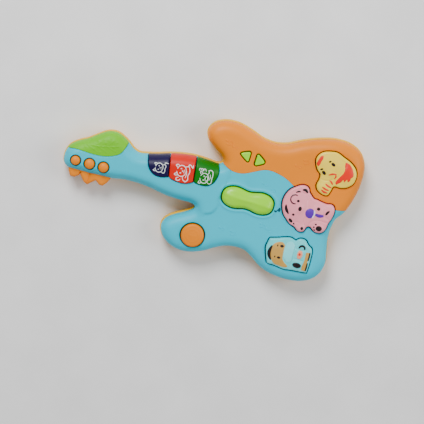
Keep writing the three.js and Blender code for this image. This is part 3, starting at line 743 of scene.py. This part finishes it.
def under(top):
    """The inside of a shell whose outside is top: one wall lower, and down to the seam along its edge."""
    def height(points):
        skirt = distance(points, [BODY]) < WALL
        return np.where(skirt, SEAM + 0.15, np.maximum(SEAM + 0.6, top(points) - WALL))
    return height


OUTER_RINGS = (0.15, 0.5, 1.1, 2.0, WALL - 0.05, WALL + 0.05, 3.4, 4.8, 6.6, 9.0, 12.0)
HOLE_RINGS = (0.12, 0.35, 0.7, 1.2, 1.8, 2.5, 3.3, 4.3)
LIP_GAPS = (-0.35, 0.35, 0.52, 0.8, 1.2, 1.8)


def build_front():
    key_lines = [(loop, LIP_GAPS) for loop in KEY_REACH.values()]
    outline_less_bear = clip_out(BLUE_SIDE, HOLE["bear_button"])
    blue = slab("blue_front", [outline_less_bear, HOLE["strum_button"], HOLE["round_button"],
                               HOLE["puppy_button"], *TUNER_HOLES],
                blue_top, under(blue_top), BLUE, rings=(OUTER_RINGS, HOLE_RINGS),
                extra=[*key_lines, (LEAF_REACH, (-0.3, 0.25, 0.36, 0.9))])
    dress(blue, "root", "blue_plastic", ["front_shell"])
    orange = slab("orange_cover", [clip_out(ORANGE_SIDE, HOLE["bear_button"]), HOLE["chick_button"],
                                   HOLE["triangle_button_left"], HOLE["triangle_button_right"]],
                  orange_top, under(orange_top), ORANGE, rings=(OUTER_RINGS, HOLE_RINGS))
    dress(orange, "root", "orange_plastic", ["upper_front_cover"])


def note(x, y, size, turn, double=False, bold=1.5):
    """A generic music note: an oval head, a stem and a flag, or two heads joined by a beam."""
    c, s = math.cos(math.radians(turn)), math.sin(math.radians(turn))

    def place(points):
        points = np.asarray(points, float) * size
        return drawn(points @ np.array([[c, s], [-s, c]]) + [x, y])

    loops = [oval(0, 0, 1.5, 1.1, 20), stroke([(1.3, 0.2), (1.3, 3.2), (1.3, 6.2)], 0.55 * bold)]
    if double:
        loops += [oval(4.2, 0.5, 1.5, 1.1, 20), stroke([(5.5, 0.8), (5.5, 4), (5.5, 6.8)], 0.55 * bold),
                  stroke([(1.3, 6.2), (3.4, 6.5), (5.5, 6.8)], 1.0)]
    else:
        loops.append(stroke([(1.3, 6.2), (2.6, 5.2), (3.2, 3.6)], 0.8 * bold))
    return [place(loop) for loop in loops]


def build_marks():
    """Notes moulded into the two covers, and one printed mark by the strum button."""
    covers = (
        ("blue", blue_top, BLUE, [
            (11, -24, 1.0, -75), (25, -25, 0.9, -75, True), (64, -12, 1.1, -80), (56, -8, 0.8, -80, True),
            (47, 38, 0.9, -75), (58, 34, 0.7, -70, True)]),
        ("orange", orange_top, ORANGE, [
            (-6, 76, 1.0, -70, True), (3, 71, 0.9, -70), (78, 68, 1.1, -75), (86, 76, 0.9, -75, True)]),
    )
    for colour, host, material, notes in covers:
        loops = [loop for each in notes for loop in note(*each)]
        marks = relief(colour + "_notes", loops, host, material, rise=0.35, soft=0.55)
        dress(marks, "root", colour + "_plastic")
    printed = note(68.6, 10.4, 0.95, -35, bold=2.6)
    mark = relief("printed_note", printed, blue_top, TEAL_INK, rise=0.45, grid=0.8)
    dress(mark, "root", "blue_plastic")


# ---- keys and head

KEY_LOW = 24.0
KEY_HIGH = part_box("key_2")[1].z / MM


def key_top(reach):
    def height(points):
        depth = np.maximum(0, signed(points, OVERHANG))
        z = KEY_LOW + (KEY_HIGH - KEY_LOW) * quarter(depth / 13.0)
        return z - lip(distance(points, [reach]), 1.1)
    return height


def key_under(points):
    depth = signed(points, BODY)
    return np.where(depth < -0.1, SKIRT_FOOT, np.where(depth < 2.4, 20.9, CAP_UNDERSIDE))


def sketch(x, y, lines, scale=1.0):
    """Pen lines about a middle, drawn with right towards +Y and up towards -X. Each is (points, width)."""
    loops = []
    for points, width in lines:
        points = np.asarray(points, float) * scale
        placed = np.stack([x - points[:, 1], y + points[:, 0]], axis=1)
        loops.append(drawn(stroke(placed, width * scale, 0.8)))
    return loops


def ring(x, y, rx, ry, start, stop):
    angle = np.radians(np.linspace(start, stop, 18))
    return np.stack([x + rx * np.cos(angle), y + ry * np.sin(angle)], axis=1)


def split(line):
    """A long line as two that meet, so that no stroke closes on itself."""
    half = (len(line) - 1) // 2
    return [line[:half + 1], line[half:]]


KITTEN = [
    *[(part, 0.9) for part in split(ring(0, 0, 5.6, 4.6, 100, 440))],
    ([(-4.6, 3.2), (-5, 5.4), (-4.2, 6.6), (-2.4, 4.6)], 0.9),
    ([(4.6, 3.2), (5, 5.4), (4.2, 6.6), (2.4, 4.6)], 0.9), ([(-2.2, 0.9), (-2.2, 0.2)], 1.2),
    ([(2.2, 0.9), (2.2, 0.2)], 1.2), ([(-0.5, -1.2), (0.5, -1.2)], 1.1),
    ([(-1.6, -2.5), (-0.6, -3), (0, -2.4), (0.6, -3), (1.6, -2.5)], 0.7),
    ([(-4.4, -3.6), (-5.4, -6.4), (-3.4, -7.6), (0, -7.2), (3.6, -7.6), (5.2, -6.2), (4.4, -3.6)], 0.9),
]
RABBIT = [
    *[(part, 0.95) for part in split(ring(2, 0, 6.6, 5.4, 105, 435))],
    ([(-1, 5), (-3.4, 7.6), (-4.4, 6), (-3.6, 3)], 0.95), ([(5, 5), (7.2, 7.8), (8.6, 6), (7.4, 3)], 0.95),
    ([(-0.6, 1.2), (-0.6, 0.3)], 1.4), ([(4.6, 1.2), (4.6, 0.3)], 1.4), ([(1.5, -1.2), (2.6, -1.2)], 1.2),
    ([(0.2, -2.8), (1.4, -3.4), (2.1, -2.6), (2.9, -3.4), (4, -2.8)], 0.75),
    ([(-4, -2.6), (-8, -4), (-9.6, -7.2), (-6.6, -9.4), (-2, -8.6), (2, -9.6), (6, -9), (8.8, -7.2),
      (7.6, -3.6)], 0.95),
    ([(-7.6, -0.6), (-9.8, 0.8), (-10, 3.6), (-7.4, 4.2), (-6.2, 2)], 0.95),
    ([(-5, -6), (-1, -6.6), (3, -6)], 0.8),
]
CALF = [
    *[(part, 0.95) for part in split(ring(-2, 1, 6.4, 5.2, 100, 430))],
    ([(-7.4, 3.6), (-9.6, 5.2), (-9.2, 7.2), (-6.4, 6.4)], 0.95),
    ([(3.6, 4), (6, 6.4), (5.4, 7.6), (2.4, 6.4)], 0.95), ([(-4.4, 2), (-4.4, 1.1)], 1.4),
    ([(0.6, 2), (0.6, 1.1)], 1.4), *[(part, 0.8) for part in split(ring(-2, -1.8, 3, 1.7, 0, 345))],
    ([(3.4, -2), (6.2, -3.4), (8.6, -2.4), (9.6, -5), (8.2, -7.6), (4, -8.6), (-1, -8.4), (-5.6, -8.6),
      (-7.6, -6.6), (-6.4, -3.8)], 0.95),
    ([(-3, -5.6), (0.6, -6.2), (4.2, -5.4)], 0.8), ([(7, 0.6), (9.4, 2), (9, 4.4), (6.8, 3.6)], 0.9),
]
DIGITS = {
    1: [([(-0.9, 1.3), (0.1, 2.2), (0.1, 0), (0.1, -2.2)], 0.9)],
    2: [([(-1.3, 1.2), (-0.4, 2.2), (1, 1.9), (1.1, 0.6), (-0.2, -0.9), (-1.4, -2.1)], 0.85),
        ([(-1.4, -2.1), (0, -2.1), (1.5, -2.1)], 0.85)],
    3: [([(-1.2, 1.6), (0, 2.3), (1.2, 1.5), (0.9, 0.4), (-0.1, 0.1)], 0.8),
        ([(-0.1, 0.1), (1.2, -0.3), (1.4, -1.5), (0.2, -2.3), (-1.3, -1.7)], 0.8)],
}


def build_keys():
    art = {
        "key_1": sketch(-73.4, 26.6, KITTEN, 0.95) + sketch(-66.3, 33.6, DIGITS[1], 1.0),
        "key_2": sketch(-47.6, 27.4, RABBIT, 0.98) + sketch(-38.2, 37.0, DIGITS[2], 1.15),
        "key_3": sketch(-19.4, 29.4, CALF, 0.92) + sketch(-26.0, 36.4, DIGITS[3], 1.0),
    }
    finishes = ((NAVY, "navy_plastic"), (RED, "red_plastic"), (GREEN, "green_plastic"))
    for name, (material, finish) in zip(KEYS, finishes):
        loop = resample(clip(KEY_REACH[name], OVERHANG), 0.8)
        top = key_top(KEY_REACH[name])
        cap = slab(name + "_cap", [loop], top, key_under, material, grid=1.3,
                   rings=((0.12, 0.3, 0.4, 0.7, 1.2, 2.0, 2.8, 2.9, 3.6, 5.0),))
        dress(cap, name, finish, [name])
        print_ = relief(name + "_print", art[name], top, WHITE_INK, rise=0.14, grid=2.0)
        dress(print_, name, finish)


MIDRIB = ([(-178, 29), (-160, 31.5), (-142, 33.5), (-124, 38)], 0.55, -0.35)
SIDE_VEINS = [
    [(-164, 31), (-158, 35), (-153, 39)], [(-152, 32.4), (-146, 37), (-142, 42)],
    [(-141, 33.8), (-135, 38), (-131, 43.5)], [(-160, 31.4), (-153, 28.6), (-147, 26)],
    [(-148, 32.8), (-141, 30), (-135, 27.4)], [(-137, 34.6), (-131, 32.6), (-126, 31.4)],
]
VEINS = [MIDRIB, *[(line, 0.45, -0.3) for line in SIDE_VEINS]]
BUDS = [(x, y, r, r, 0.3) for x, y, r in (
    (-150.6, 28.4, 1.9), (-139.4, 38.2, 2.1), (-129.6, 35.6, 1.8), (-148.4, 38.6, 1.9), (-161.2, 28.4, 1.6),
    (-135, 45.4, 1.6), (-143.6, 26.2, 1.4), (-126.4, 42.2, 1.6),
)]


def build_head():
    leaf_loop = resample(clip(LEAF_REACH, OVERHANG), 0.8)

    def leaf_top(points):
        depth = np.maximum(0, signed(points, OVERHANG))
        z = shoulder(depth) + 0.5 - lip(distance(points, [LEAF_REACH]), 0.9)
        return z + grooves(points, VEINS) + bumps(points, BUDS)

    def leaf_under(points):
        return np.where(signed(points, BODY) < -0.1, 18.0, face(points) - 1.9)

    panel = slab("leaf_panel", [leaf_loop], leaf_top, leaf_under, LEAF, grid=0.75,
                 rings=((0.12, 0.3, 0.4, 0.7, 1.2, 2.0),))
    dress(panel, "root", "leaf_green_plastic", ["head_panel"])
    for i, (x, r) in enumerate(zip(TUNER_X, TUNER_R)):
        rise = [(r * math.cos(a), FACE + 0.4 + 4.0 * math.sin(a)) for a in np.linspace(0, math.pi / 2, 12)]
        profile = [(0, 24), (r, 24), *rise[:-1], (0, FACE + 4.4)]
        dome = lathe(f"tuner_dome_{i + 1}", x, TUNER_Y, profile, ORANGE)
        dress(dome, "root", "orange_plastic", ["tuner_comb"] if i == 0 else ())
    for i, loop in enumerate(slice_node("tuner_comb", 20.0)):
        round_loop = resample(soften(loop, 1.0), 0.7)
        tip = round_loop[np.argmin(round_loop[:, 1])]
        root = np.array([round_loop[:, 0].mean(), round_loop[:, 1].max()])

        def lobe_top(points, edge=round_loop, crease=np.array([root, tip])):
            z = 27.0 - 4.2 * (1 - quarter(distance(points, [edge]) / 3.0))
            return z - 2.2 * np.exp(-distance_to_line(points, crease) / 1.6)

        def lobe_under(points, edge=round_loop):
            return 17.8 + 2.0 * (1 - quarter(distance(points, [edge]) / 2.5))

        lobe = slab(f"tuner_lobe_{i + 1}", [round_loop], lobe_top, lobe_under, ORANGE, grid=1.0,
                    rings=((0.12, 0.4, 0.9, 1.6, 2.5, 3.8),))
        dress(lobe, "root", "orange_plastic")


# ---- buttons

# each button's material and slot, the radius of its edge, and how far its middle is crowned
FINISH = {
    "strum_button": (LIME, "lime_plastic", 4.2, 2.0), "round_button": (ORANGE, "orange_plastic", 2.2, 0.9),
    "bear_button": (PINK, "pink_plastic", 1.8, 0.8), "puppy_button": (SKY, "sky_plastic", 1.8, 0.8),
    "chick_button": (YELLOW, "yellow_plastic", 1.8, 0.8),
    "triangle_button_left": (LIME, "lime_plastic", 0.9, 0.2),
    "triangle_button_right": (LIME, "lime_plastic", 0.9, 0.2),
}
# the bumps and grooves of the moulded buttons
SWELL = {
    "chick_button": [
        (116, 78, 15, 15, 1.2), (115.5, 50.5, 8, 7, 0.8), (138, 72, 9, 13, 0.9), (120, 68.6, 5, 4, 0.5)],
    "bear_button": [
        (89, 23, 14, 18, 1.3), (95.5, 21, 5.5, 7, 0.7), (94.6, 43, 5, 4, 0.5), (102, -2, 4.5, 4, 0.5),
        (117, 24, 9, 9, 0.9), (129, 25.5, 6, 8, 0.7), (122, 3.6, 7.5, 6, 0.9), (108, 18.6, 5, 5, 0.8)],
    "puppy_button": [
        (83, -37, 11, 15, 1.2), (97.4, -32.6, 5.5, 12, 0.9), (110, -20.4, 6, 5.4, 0.8),
        (109.4, -44, 6, 5, 0.8), (109.4, -31.6, 5, 6.6, 0.6), (117.6, -38, 3.4, 11, 0.5)],
}
CREASE = {
    "chick_button": [
        ([(108, 61), (112, 59.6), (118, 60.4), (124, 63)], 0.9, 0.7),
        ([(134.5, 89), (133.8, 80), (131, 72), (127, 64), (125.6, 57)], 0.8, 0.7)],
    "bear_button": [
        ([(103.4, 41), (103, 32), (104.2, 24)], 0.9, 0.8), ([(104.4, 13), (104, 6), (107, 0)], 0.9, 0.8),
        ([(109.5, 3), (112.8, 10), (120, 12.4), (130.5, 12)], 0.8, 0.6),
        ([(124, 33), (121.6, 27), (124, 19.6), (132, 15.6)], 0.7, 0.5),
        ([(90.4, 44.6), (92.6, 39.8), (98.6, 38.8)], 0.6, 0.5),
        ([(90, 1.6), (95.4, 4.6), (100.6, 4.2)], 0.6, 0.5)],
    "puppy_button": [
        ([(103.4, -15.8), (102, -24), (102.4, -33), (102.4, -42), (101, -51)], 0.8, 0.8),
        ([(92, -17), (91.6, -24), (90.6, -31), (91.6, -39), (95.6, -45)], 0.7, 0.6),
        ([(103, -25.4), (109, -26.6), (115, -25)], 0.7, 0.6),
        ([(103, -38.4), (109, -37.6), (114.4, -38.6)], 0.7, 0.6),
        ([(114.6, -21), (115, -30), (114, -40), (114.2, -50)], 0.6, 0.5)],
    "round_button": [
        (ring(-16.8, -41, 7.2, 7.2, 0, 350), 0.5, -0.35), ([(-20.6, -41), (-13, -41)], 0.5, -0.3)],
    "strum_button": [([(8, 16.4), (20, 15.4), (35, 14.6), (50, 13.8), (62, 12.6)], 2.2, -0.45)],
}


def button_top(name):
    _, _, edge, crown = FINISH[name]

    def height(points):
        gap = distance(points, [CAP[name]])
        z = RISE[name] - crown * (1 - step_up(gap, 0, 12)) - edge * (1 - quarter(gap / (edge * 1.25)))
        calm = step_up(gap, 0.2, 2.2)
        return z + calm * (bumps(points, SWELL.get(name, ())) + grooves(points, CREASE.get(name, ())))
    return height


BOLD = 1.2                        # how much larger every printed mark is than its own numbers say


def dot(x, y, rx, ry, turn=0):
    return drawn(oval(x, y, rx * BOLD, ry * BOLD, turn, 26))


def pen(points, width, taper=1.0):
    return drawn(stroke(points, width * BOLD, taper))


def patch(points, radius=0.8):
    return soften(curved(drawn(points)), radius)


# the print on the animals, a layer at a time: the button, the ink and the marks
ART = (
    ("chick_button", RED_INK, [
        patch([(106, 87.2), (103.6, 86.6), (102.2, 84), (101, 80), (100.4, 76.8), (101.5, 74.8),
               (103.4, 73.9), (104.6, 77), (105, 80), (106.2, 83.4)]),
        patch([(132.5, 86), (137, 85), (141.2, 81.4), (144.4, 76), (145.2, 72), (143, 69.6), (142.4, 66),
               (140.2, 64.4), (139, 67.2), (136.5, 63), (134.8, 66), (132.6, 61.8), (130.6, 60.2),
               (128.4, 58), (126.8, 60), (128, 64), (130.2, 68), (133, 73), (133.6, 78), (132.6, 82)], 0.4),
        pen([(114.1, 51.7), (117.8, 50.2), (121.6, 49.6)], 1.9, 0.6),
        pen([(113.8, 48.2), (117.2, 46.6), (120.8, 46.3)], 2.1, 0.6),
        pen([(116.6, 56.1), (120, 54.4), (123.5, 53.4)], 1.9, 0.6),
        pen([(120, 61.1), (122.2, 59.8), (124.3, 57.6)], 1.8, 0.6),
        pen([(117.3, 67.3), (121.4, 69.4), (125.4, 69.9)], 1.9, 0.5),
        pen([(125, 69.6), (125.6, 67), (124.8, 64.4)], 1.6, 0.5)]),
    ("chick_button", DARK_INK, [
        dot(119.1, 80.2, 2.3, 1.5, -28), dot(111.2, 68.2, 2.4, 1.6, -38), dot(114.7, 82.6, 1.4, 0.9, 35),
        dot(107.6, 71.6, 1.6, 0.9, 30)]),
    ("bear_button", DARK_INK, [
        pen([(78.8, 21.2), (80.0, 17), (83.6, 12.2)], 2.9, 0.45),
        pen([(93.8, 43.2), (96.6, 43.4), (98.8, 41.4)], 2.7, 0.7),
        pen([(86.4, 38.4), (88.6, 39.8), (91, 40.2)], 1.7, 0.6), dot(88.4, 4.9, 2.5, 1.5, -38),
        dot(92.9, 2.1, 1.1, 0.8, -30), dot(91.1, 29.3, 1.45, 1.3), dot(89.6, 12.5, 1.3, 1.2),
        dot(95.3, 21, 1.8, 2.3), dot(103.4, -0.9, 1.5, 1.7), dot(116.2, 26, 1.7, 1.7),
        pen([(126.2, 21.8), (127.2, 24), (128.6, 26)], 2.5, 0.7), dot(122.4, 3.8, 3.1, 2.7),
        dot(117.9, 7.6, 1.0, 0.9), dot(116.5, 4, 0.9, 0.9), dot(117.8, 1, 1.0, 0.8)]),
    ("bear_button", BROWN_INK, [pen(part, 1.35, 0.75) for part in split(ring(87, 30.3, 5, 5.2, 70, 290))]),
    ("bear_button", PURPLE_INK, [
        dot(108, 18.5, 4.6, 4.9), pen([(115, 18.7), (118.6, 18.3), (122.8, 19)], 3.4, 0.75)]),
    ("bear_button", LILAC_INK, [pen([(111.9, 14.4), (113.1, 18.5), (112.2, 22.8)], 1.6, 0.8)]),
    ("puppy_button", TAN_INK, [
        patch([(76, -28), (80, -23.6), (86, -22), (90, -24.4), (91, -30), (90.4, -36), (91.6, -42),
               (96, -46), (99.4, -48.4), (97, -50.2), (88, -50), (82, -48.6), (78, -44), (75.6, -37)], 1.2),
        patch([(115.6, -27), (120, -26.6), (120, -49), (115.2, -49), (114.8, -44), (115.8, -38)], 0.8)]),
    ("puppy_button", ROSE_INK, [
        patch([(107, -26.6), (111, -26.6), (112.4, -31), (111, -36.4), (107, -36.4), (105.8, -31)], 1.2)]),
    ("puppy_button", PALE_INK, [
        patch([(92, -20.6), (96.6, -18.6), (100.8, -22), (101.6, -32), (100.8, -41), (97, -44.8),
               (92, -40.4), (90.2, -34), (90.2, -26)], 1.2)]),
    ("puppy_button", DARK_INK, [
        pen([(75.3, -29.4), (74, -34.2), (74.2, -39), (75.6, -42.2), (77.6, -44.8)], 3.4, 0.45),
        dot(86.6, -26.6, 1.9, 1.4), dot(86.2, -40.4, 1.8, 1.2), dot(81.6, -27, 0.7, 1.1),
        dot(81.5, -40.2, 0.7, 1.0),
        pen([(106.3, -23.8), (107.6, -21.4), (110, -20.7), (112.2, -21.6), (113.1, -23.9)], 2.2, 0.6),
        dot(108.8, -44.4, 4.3, 2.7), pen([(120.2, -27), (120.4, -31.4), (120.3, -35.8)], 1.6, 0.8),
        pen([(120.3, -39.6), (120.4, -43.8), (120.2, -48.2)], 1.6, 0.8)]),
)


def build_art():
    for i, (name, paint, loops) in enumerate(ART):
        level = [layer[0] for layer in ART[:i]].count(name)
        rise = 0.18 + 0.08 * level
        marks = relief(f"{name}_{paint.name}", loops, button_top(name), paint, rise=rise, grid=1.1)
        dress(marks, name, FINISH[name][1])
    spot = relief("puppy_spot", [dot(108.7, -31, 1.3, 1.6)], button_top("puppy_button"), RED_INK, rise=0.34)
    dress(spot, "puppy_button", "sky_plastic")


def build_buttons():
    for name, (material, finish, edge, _) in FINISH.items():
        steps = tuple(edge * 1.25 * t for t in (0.04, 0.14, 0.3, 0.5, 0.75, 1.05))
        cap = slab(name + "_cap", [CAP[name]], button_top(name), lambda p: np.full(len(p), CAP_UNDERSIDE),
                   material, grid=1.0, rings=(steps,))
        dress(cap, name, finish, [name])


def build_domes():
    """A silicone dome under each button and key."""
    for name in (*CAP, *KEYS):
        low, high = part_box(name + "_dome")
        x, y, _ = middle(name + "_dome")
        foot, top = low.z / MM, high.z / MM
        profile = [(0, foot), (4.6, foot), (4.6, foot + 0.7), (4.1, foot + 1.1), (3.5, foot + 1.5),
                   (2.7, top - 1.9), (2.55, top - 0.4), (2.3, top - 0.06), (0, top - 0.06)]
        dome = lathe(name + "_silicone_dome", x, y, profile, RUBBER, 28)
        dress(dome, "root", "dome_rubber", [name + "_dome"])
        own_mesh(dome)


# ---- rear shell

DOOR = slice_node("battery_door", 1.0)[0]
WELLS = [middle(f"case_screw_{i}") for i in range(1, 11)]
FLARE = 1.15                      # how far the rear cover stands out past the front mouldings
RIM = offset(BODY, FLARE)


def build_rear():
    well_holes = [circle(w.x, w.y, 3.4, 36) for w in WELLS]
    speaker = middle("speaker_basket")
    knob = middle("power_slider")
    slots = []
    for i in range(-3, 4):
        half = math.sqrt(20.0**2 - (6 * i) ** 2)
        y = speaker.y + 6 * i
        line = [(speaker.x - half, y), (speaker.x, y), (speaker.x + half, y)]
        slots.append(resample(stroke(line, 2.6), 0.8))
    door_hole = resample(soften(offset(resample(DOOR, 0.3), 0.45), 0.5), 0.9)
    switch = rectangle(knob.x - 3.9, knob.y - 3, knob.x + 9.9, knob.y + 3)
    switch_hole = resample(soften(resample(switch, 0.3), 0.6), 0.6)
    holes = [*well_holes, *slots, door_hole, switch_hole]

    def rear_under(points):
        z = 9.0 * (1 - quarter(distance(points, [RIM]) / 8.0))
        return z + lip(distance(points, holes), 0.6)

    def rear_top(points):
        depth = distance(points, [RIM])
        skirt = SEAM - 0.1 - 0.5 * (1 - quarter(depth / 0.6))
        return np.where(depth < WALL + FLARE, skirt, rear_under(points) + WALL)

    shell = slab("rear_cover", [RIM, *holes], rear_top, rear_under, AMBER, grid=2.4,
                 rings=((0.1, 0.3, 0.7, 1.2, 2.0, WALL + 1.1, WALL + 1.2, 4.6, 6.0, 8.0), (0.12, 0.3, 0.6)))
    dress(shell, "root", "amber_plastic", ["rear_shell"])
    for i, well in enumerate(WELLS):
        profile = [(3.45, 1.2), (4.6, 1.2), (4.6, SEAM - 0.4), (2.0, SEAM - 0.4), (2.0, 9.2), (3.45, 9.2)]
        tube = lathe(f"screw_well_{i + 1}", well.x, well.y, profile, AMBER, 32)
        dress(tube, "root", "amber_plastic")
    cells = [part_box(f"battery_{i}") for i in (1, 2, 3)]
    low = np.array([min(c[0][k] for c in cells) for k in range(3)]) / MM
    top = np.array([max(c[1][k] for c in cells) for k in range(3)]) / MM
    bay = resample(soften(rectangle(low[0] - 3, low[1] - 0.7, top[0] + 3, top[1] + 0.7), 0.4), 0.9)
    ledge = resample(offset(door_hole, 1.6), 0.9)
    wall_of_bay = offset(bay, 1.2)
    tub = slab("battery_bay", [ledge], lambda p: np.where(inside(p, wall_of_bay), top[2] + 1.4, 4.8),
               lambda p: np.where(inside(p, bay), top[2] + 0.3, 3.3),
               AMBER, grid=3.0, rings=((0.3,),), extra=[(bay, (-0.05, 0.05, 1.15, 1.25))])
    dress(tub, "root", "amber_plastic")
    build_door()


def build_door():
    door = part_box("battery_door")
    floor = door[0].z / MM
    door_loop = resample(soften(resample(DOOR, 0.3), 0.5), 0.8)
    screw = middle("door_screw")
    well = circle(screw.x, screw.y, 3.5, 32)
    grip = [oval(screw.x + 24 + 5 * k, screw.y, 1.0, 10, count=28) for k in range(-1, 2)]

    def door_under(points):
        z = floor + lip(distance(points, [door_loop]), 0.5)
        for line in grip:
            z += 0.8 * step_up(signed(points, line), -0.4, 0.5)
        return np.where(inside(points, well), floor + 1.9, z)

    lines = [(well, (-0.05, 0.05)), *[(line, (-0.4, 0.0, 0.5)) for line in grip]]
    lid = slab("battery_lid", [door_loop, circle(screw.x, screw.y, 1.6, 24)],
               lambda p: np.full(len(p), door[1].z / MM), door_under, AMBER, grid=1.8,
               rings=((0.12, 0.3, 0.6), (0.3,)), extra=lines)
    dress(lid, "battery_door", "amber_plastic", ["battery_door"])


# ---- carried-over CAD nodes

CARRIED = (
    (STEEL, ("case_screw", "contact_", "door_screw", "slide_switch", "speaker_basket")),
    (BOARD, ("main_board", "key_board", "horn_board")), (SLEEVE, ("battery_1", "battery_2", "battery_3")),
    (LAMP, "led_"), (MAGNET, "speaker_magnet"), (CONE, "speaker_cone"),
    (BLACK, ("power_slider", "wire_battery")), (WIRE_RED, "wire_speaker"),
    (WIRE_PALE, ("wire_keys", "wire_horn")),
)


def dress_frame():
    for name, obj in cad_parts.items():
        for material, starts in CARRIED:
            if name.startswith(starts):
                obj.material_slots[0].link = "OBJECT"
                obj.material_slots[0].material = material


# ---- stage

LIGHTS = (
    ("key_light", (-700, 1300, 1500), 0.9, 48), ("fill_light", (1500, 500, 1300), 1.2, 20),
    ("low_light", (-300, -1600, 1100), 1.2, 5),
)
WORLD = 0.3
FLOOR = 3000


def build_stage():
    corners = [(x, y, -0.5) for x, y in rectangle(-FLOOR, -FLOOR, FLOOR, FLOOR)]
    floor = add_mesh("floor", corners, [(0, 1, 2, 3)],
                     plastic("floor_paper", (0.95, 0.95, 0.95), 0.7, coat=0.0))
    for name, place, size, power in LIGHTS:
        data = bpy.data.lights.new(name, "AREA")
        data.shape = "DISK"
        data.size = size
        data.energy = power
        light = bpy.data.objects.new(name, data)
        light.location = Vector(place) * MM
        light.rotation_mode = "QUATERNION"
        light.rotation_quaternion = (-Vector(place)).to_track_quat("-Z", "Y")
        bpy.context.scene.collection.objects.link(light)
    world = bpy.data.worlds.new("studio")
    world.use_nodes = True
    world.node_tree.nodes["Background"].inputs["Color"].default_value = (1, 1, 1, 1)
    world.node_tree.nodes["Background"].inputs["Strength"].default_value = WORLD
    bpy.context.scene.world = world


add_camera()
build_front()
build_marks()
build_keys()
build_head()
build_buttons()
build_art()
build_domes()
build_rear()
dress_frame()
build_stage()
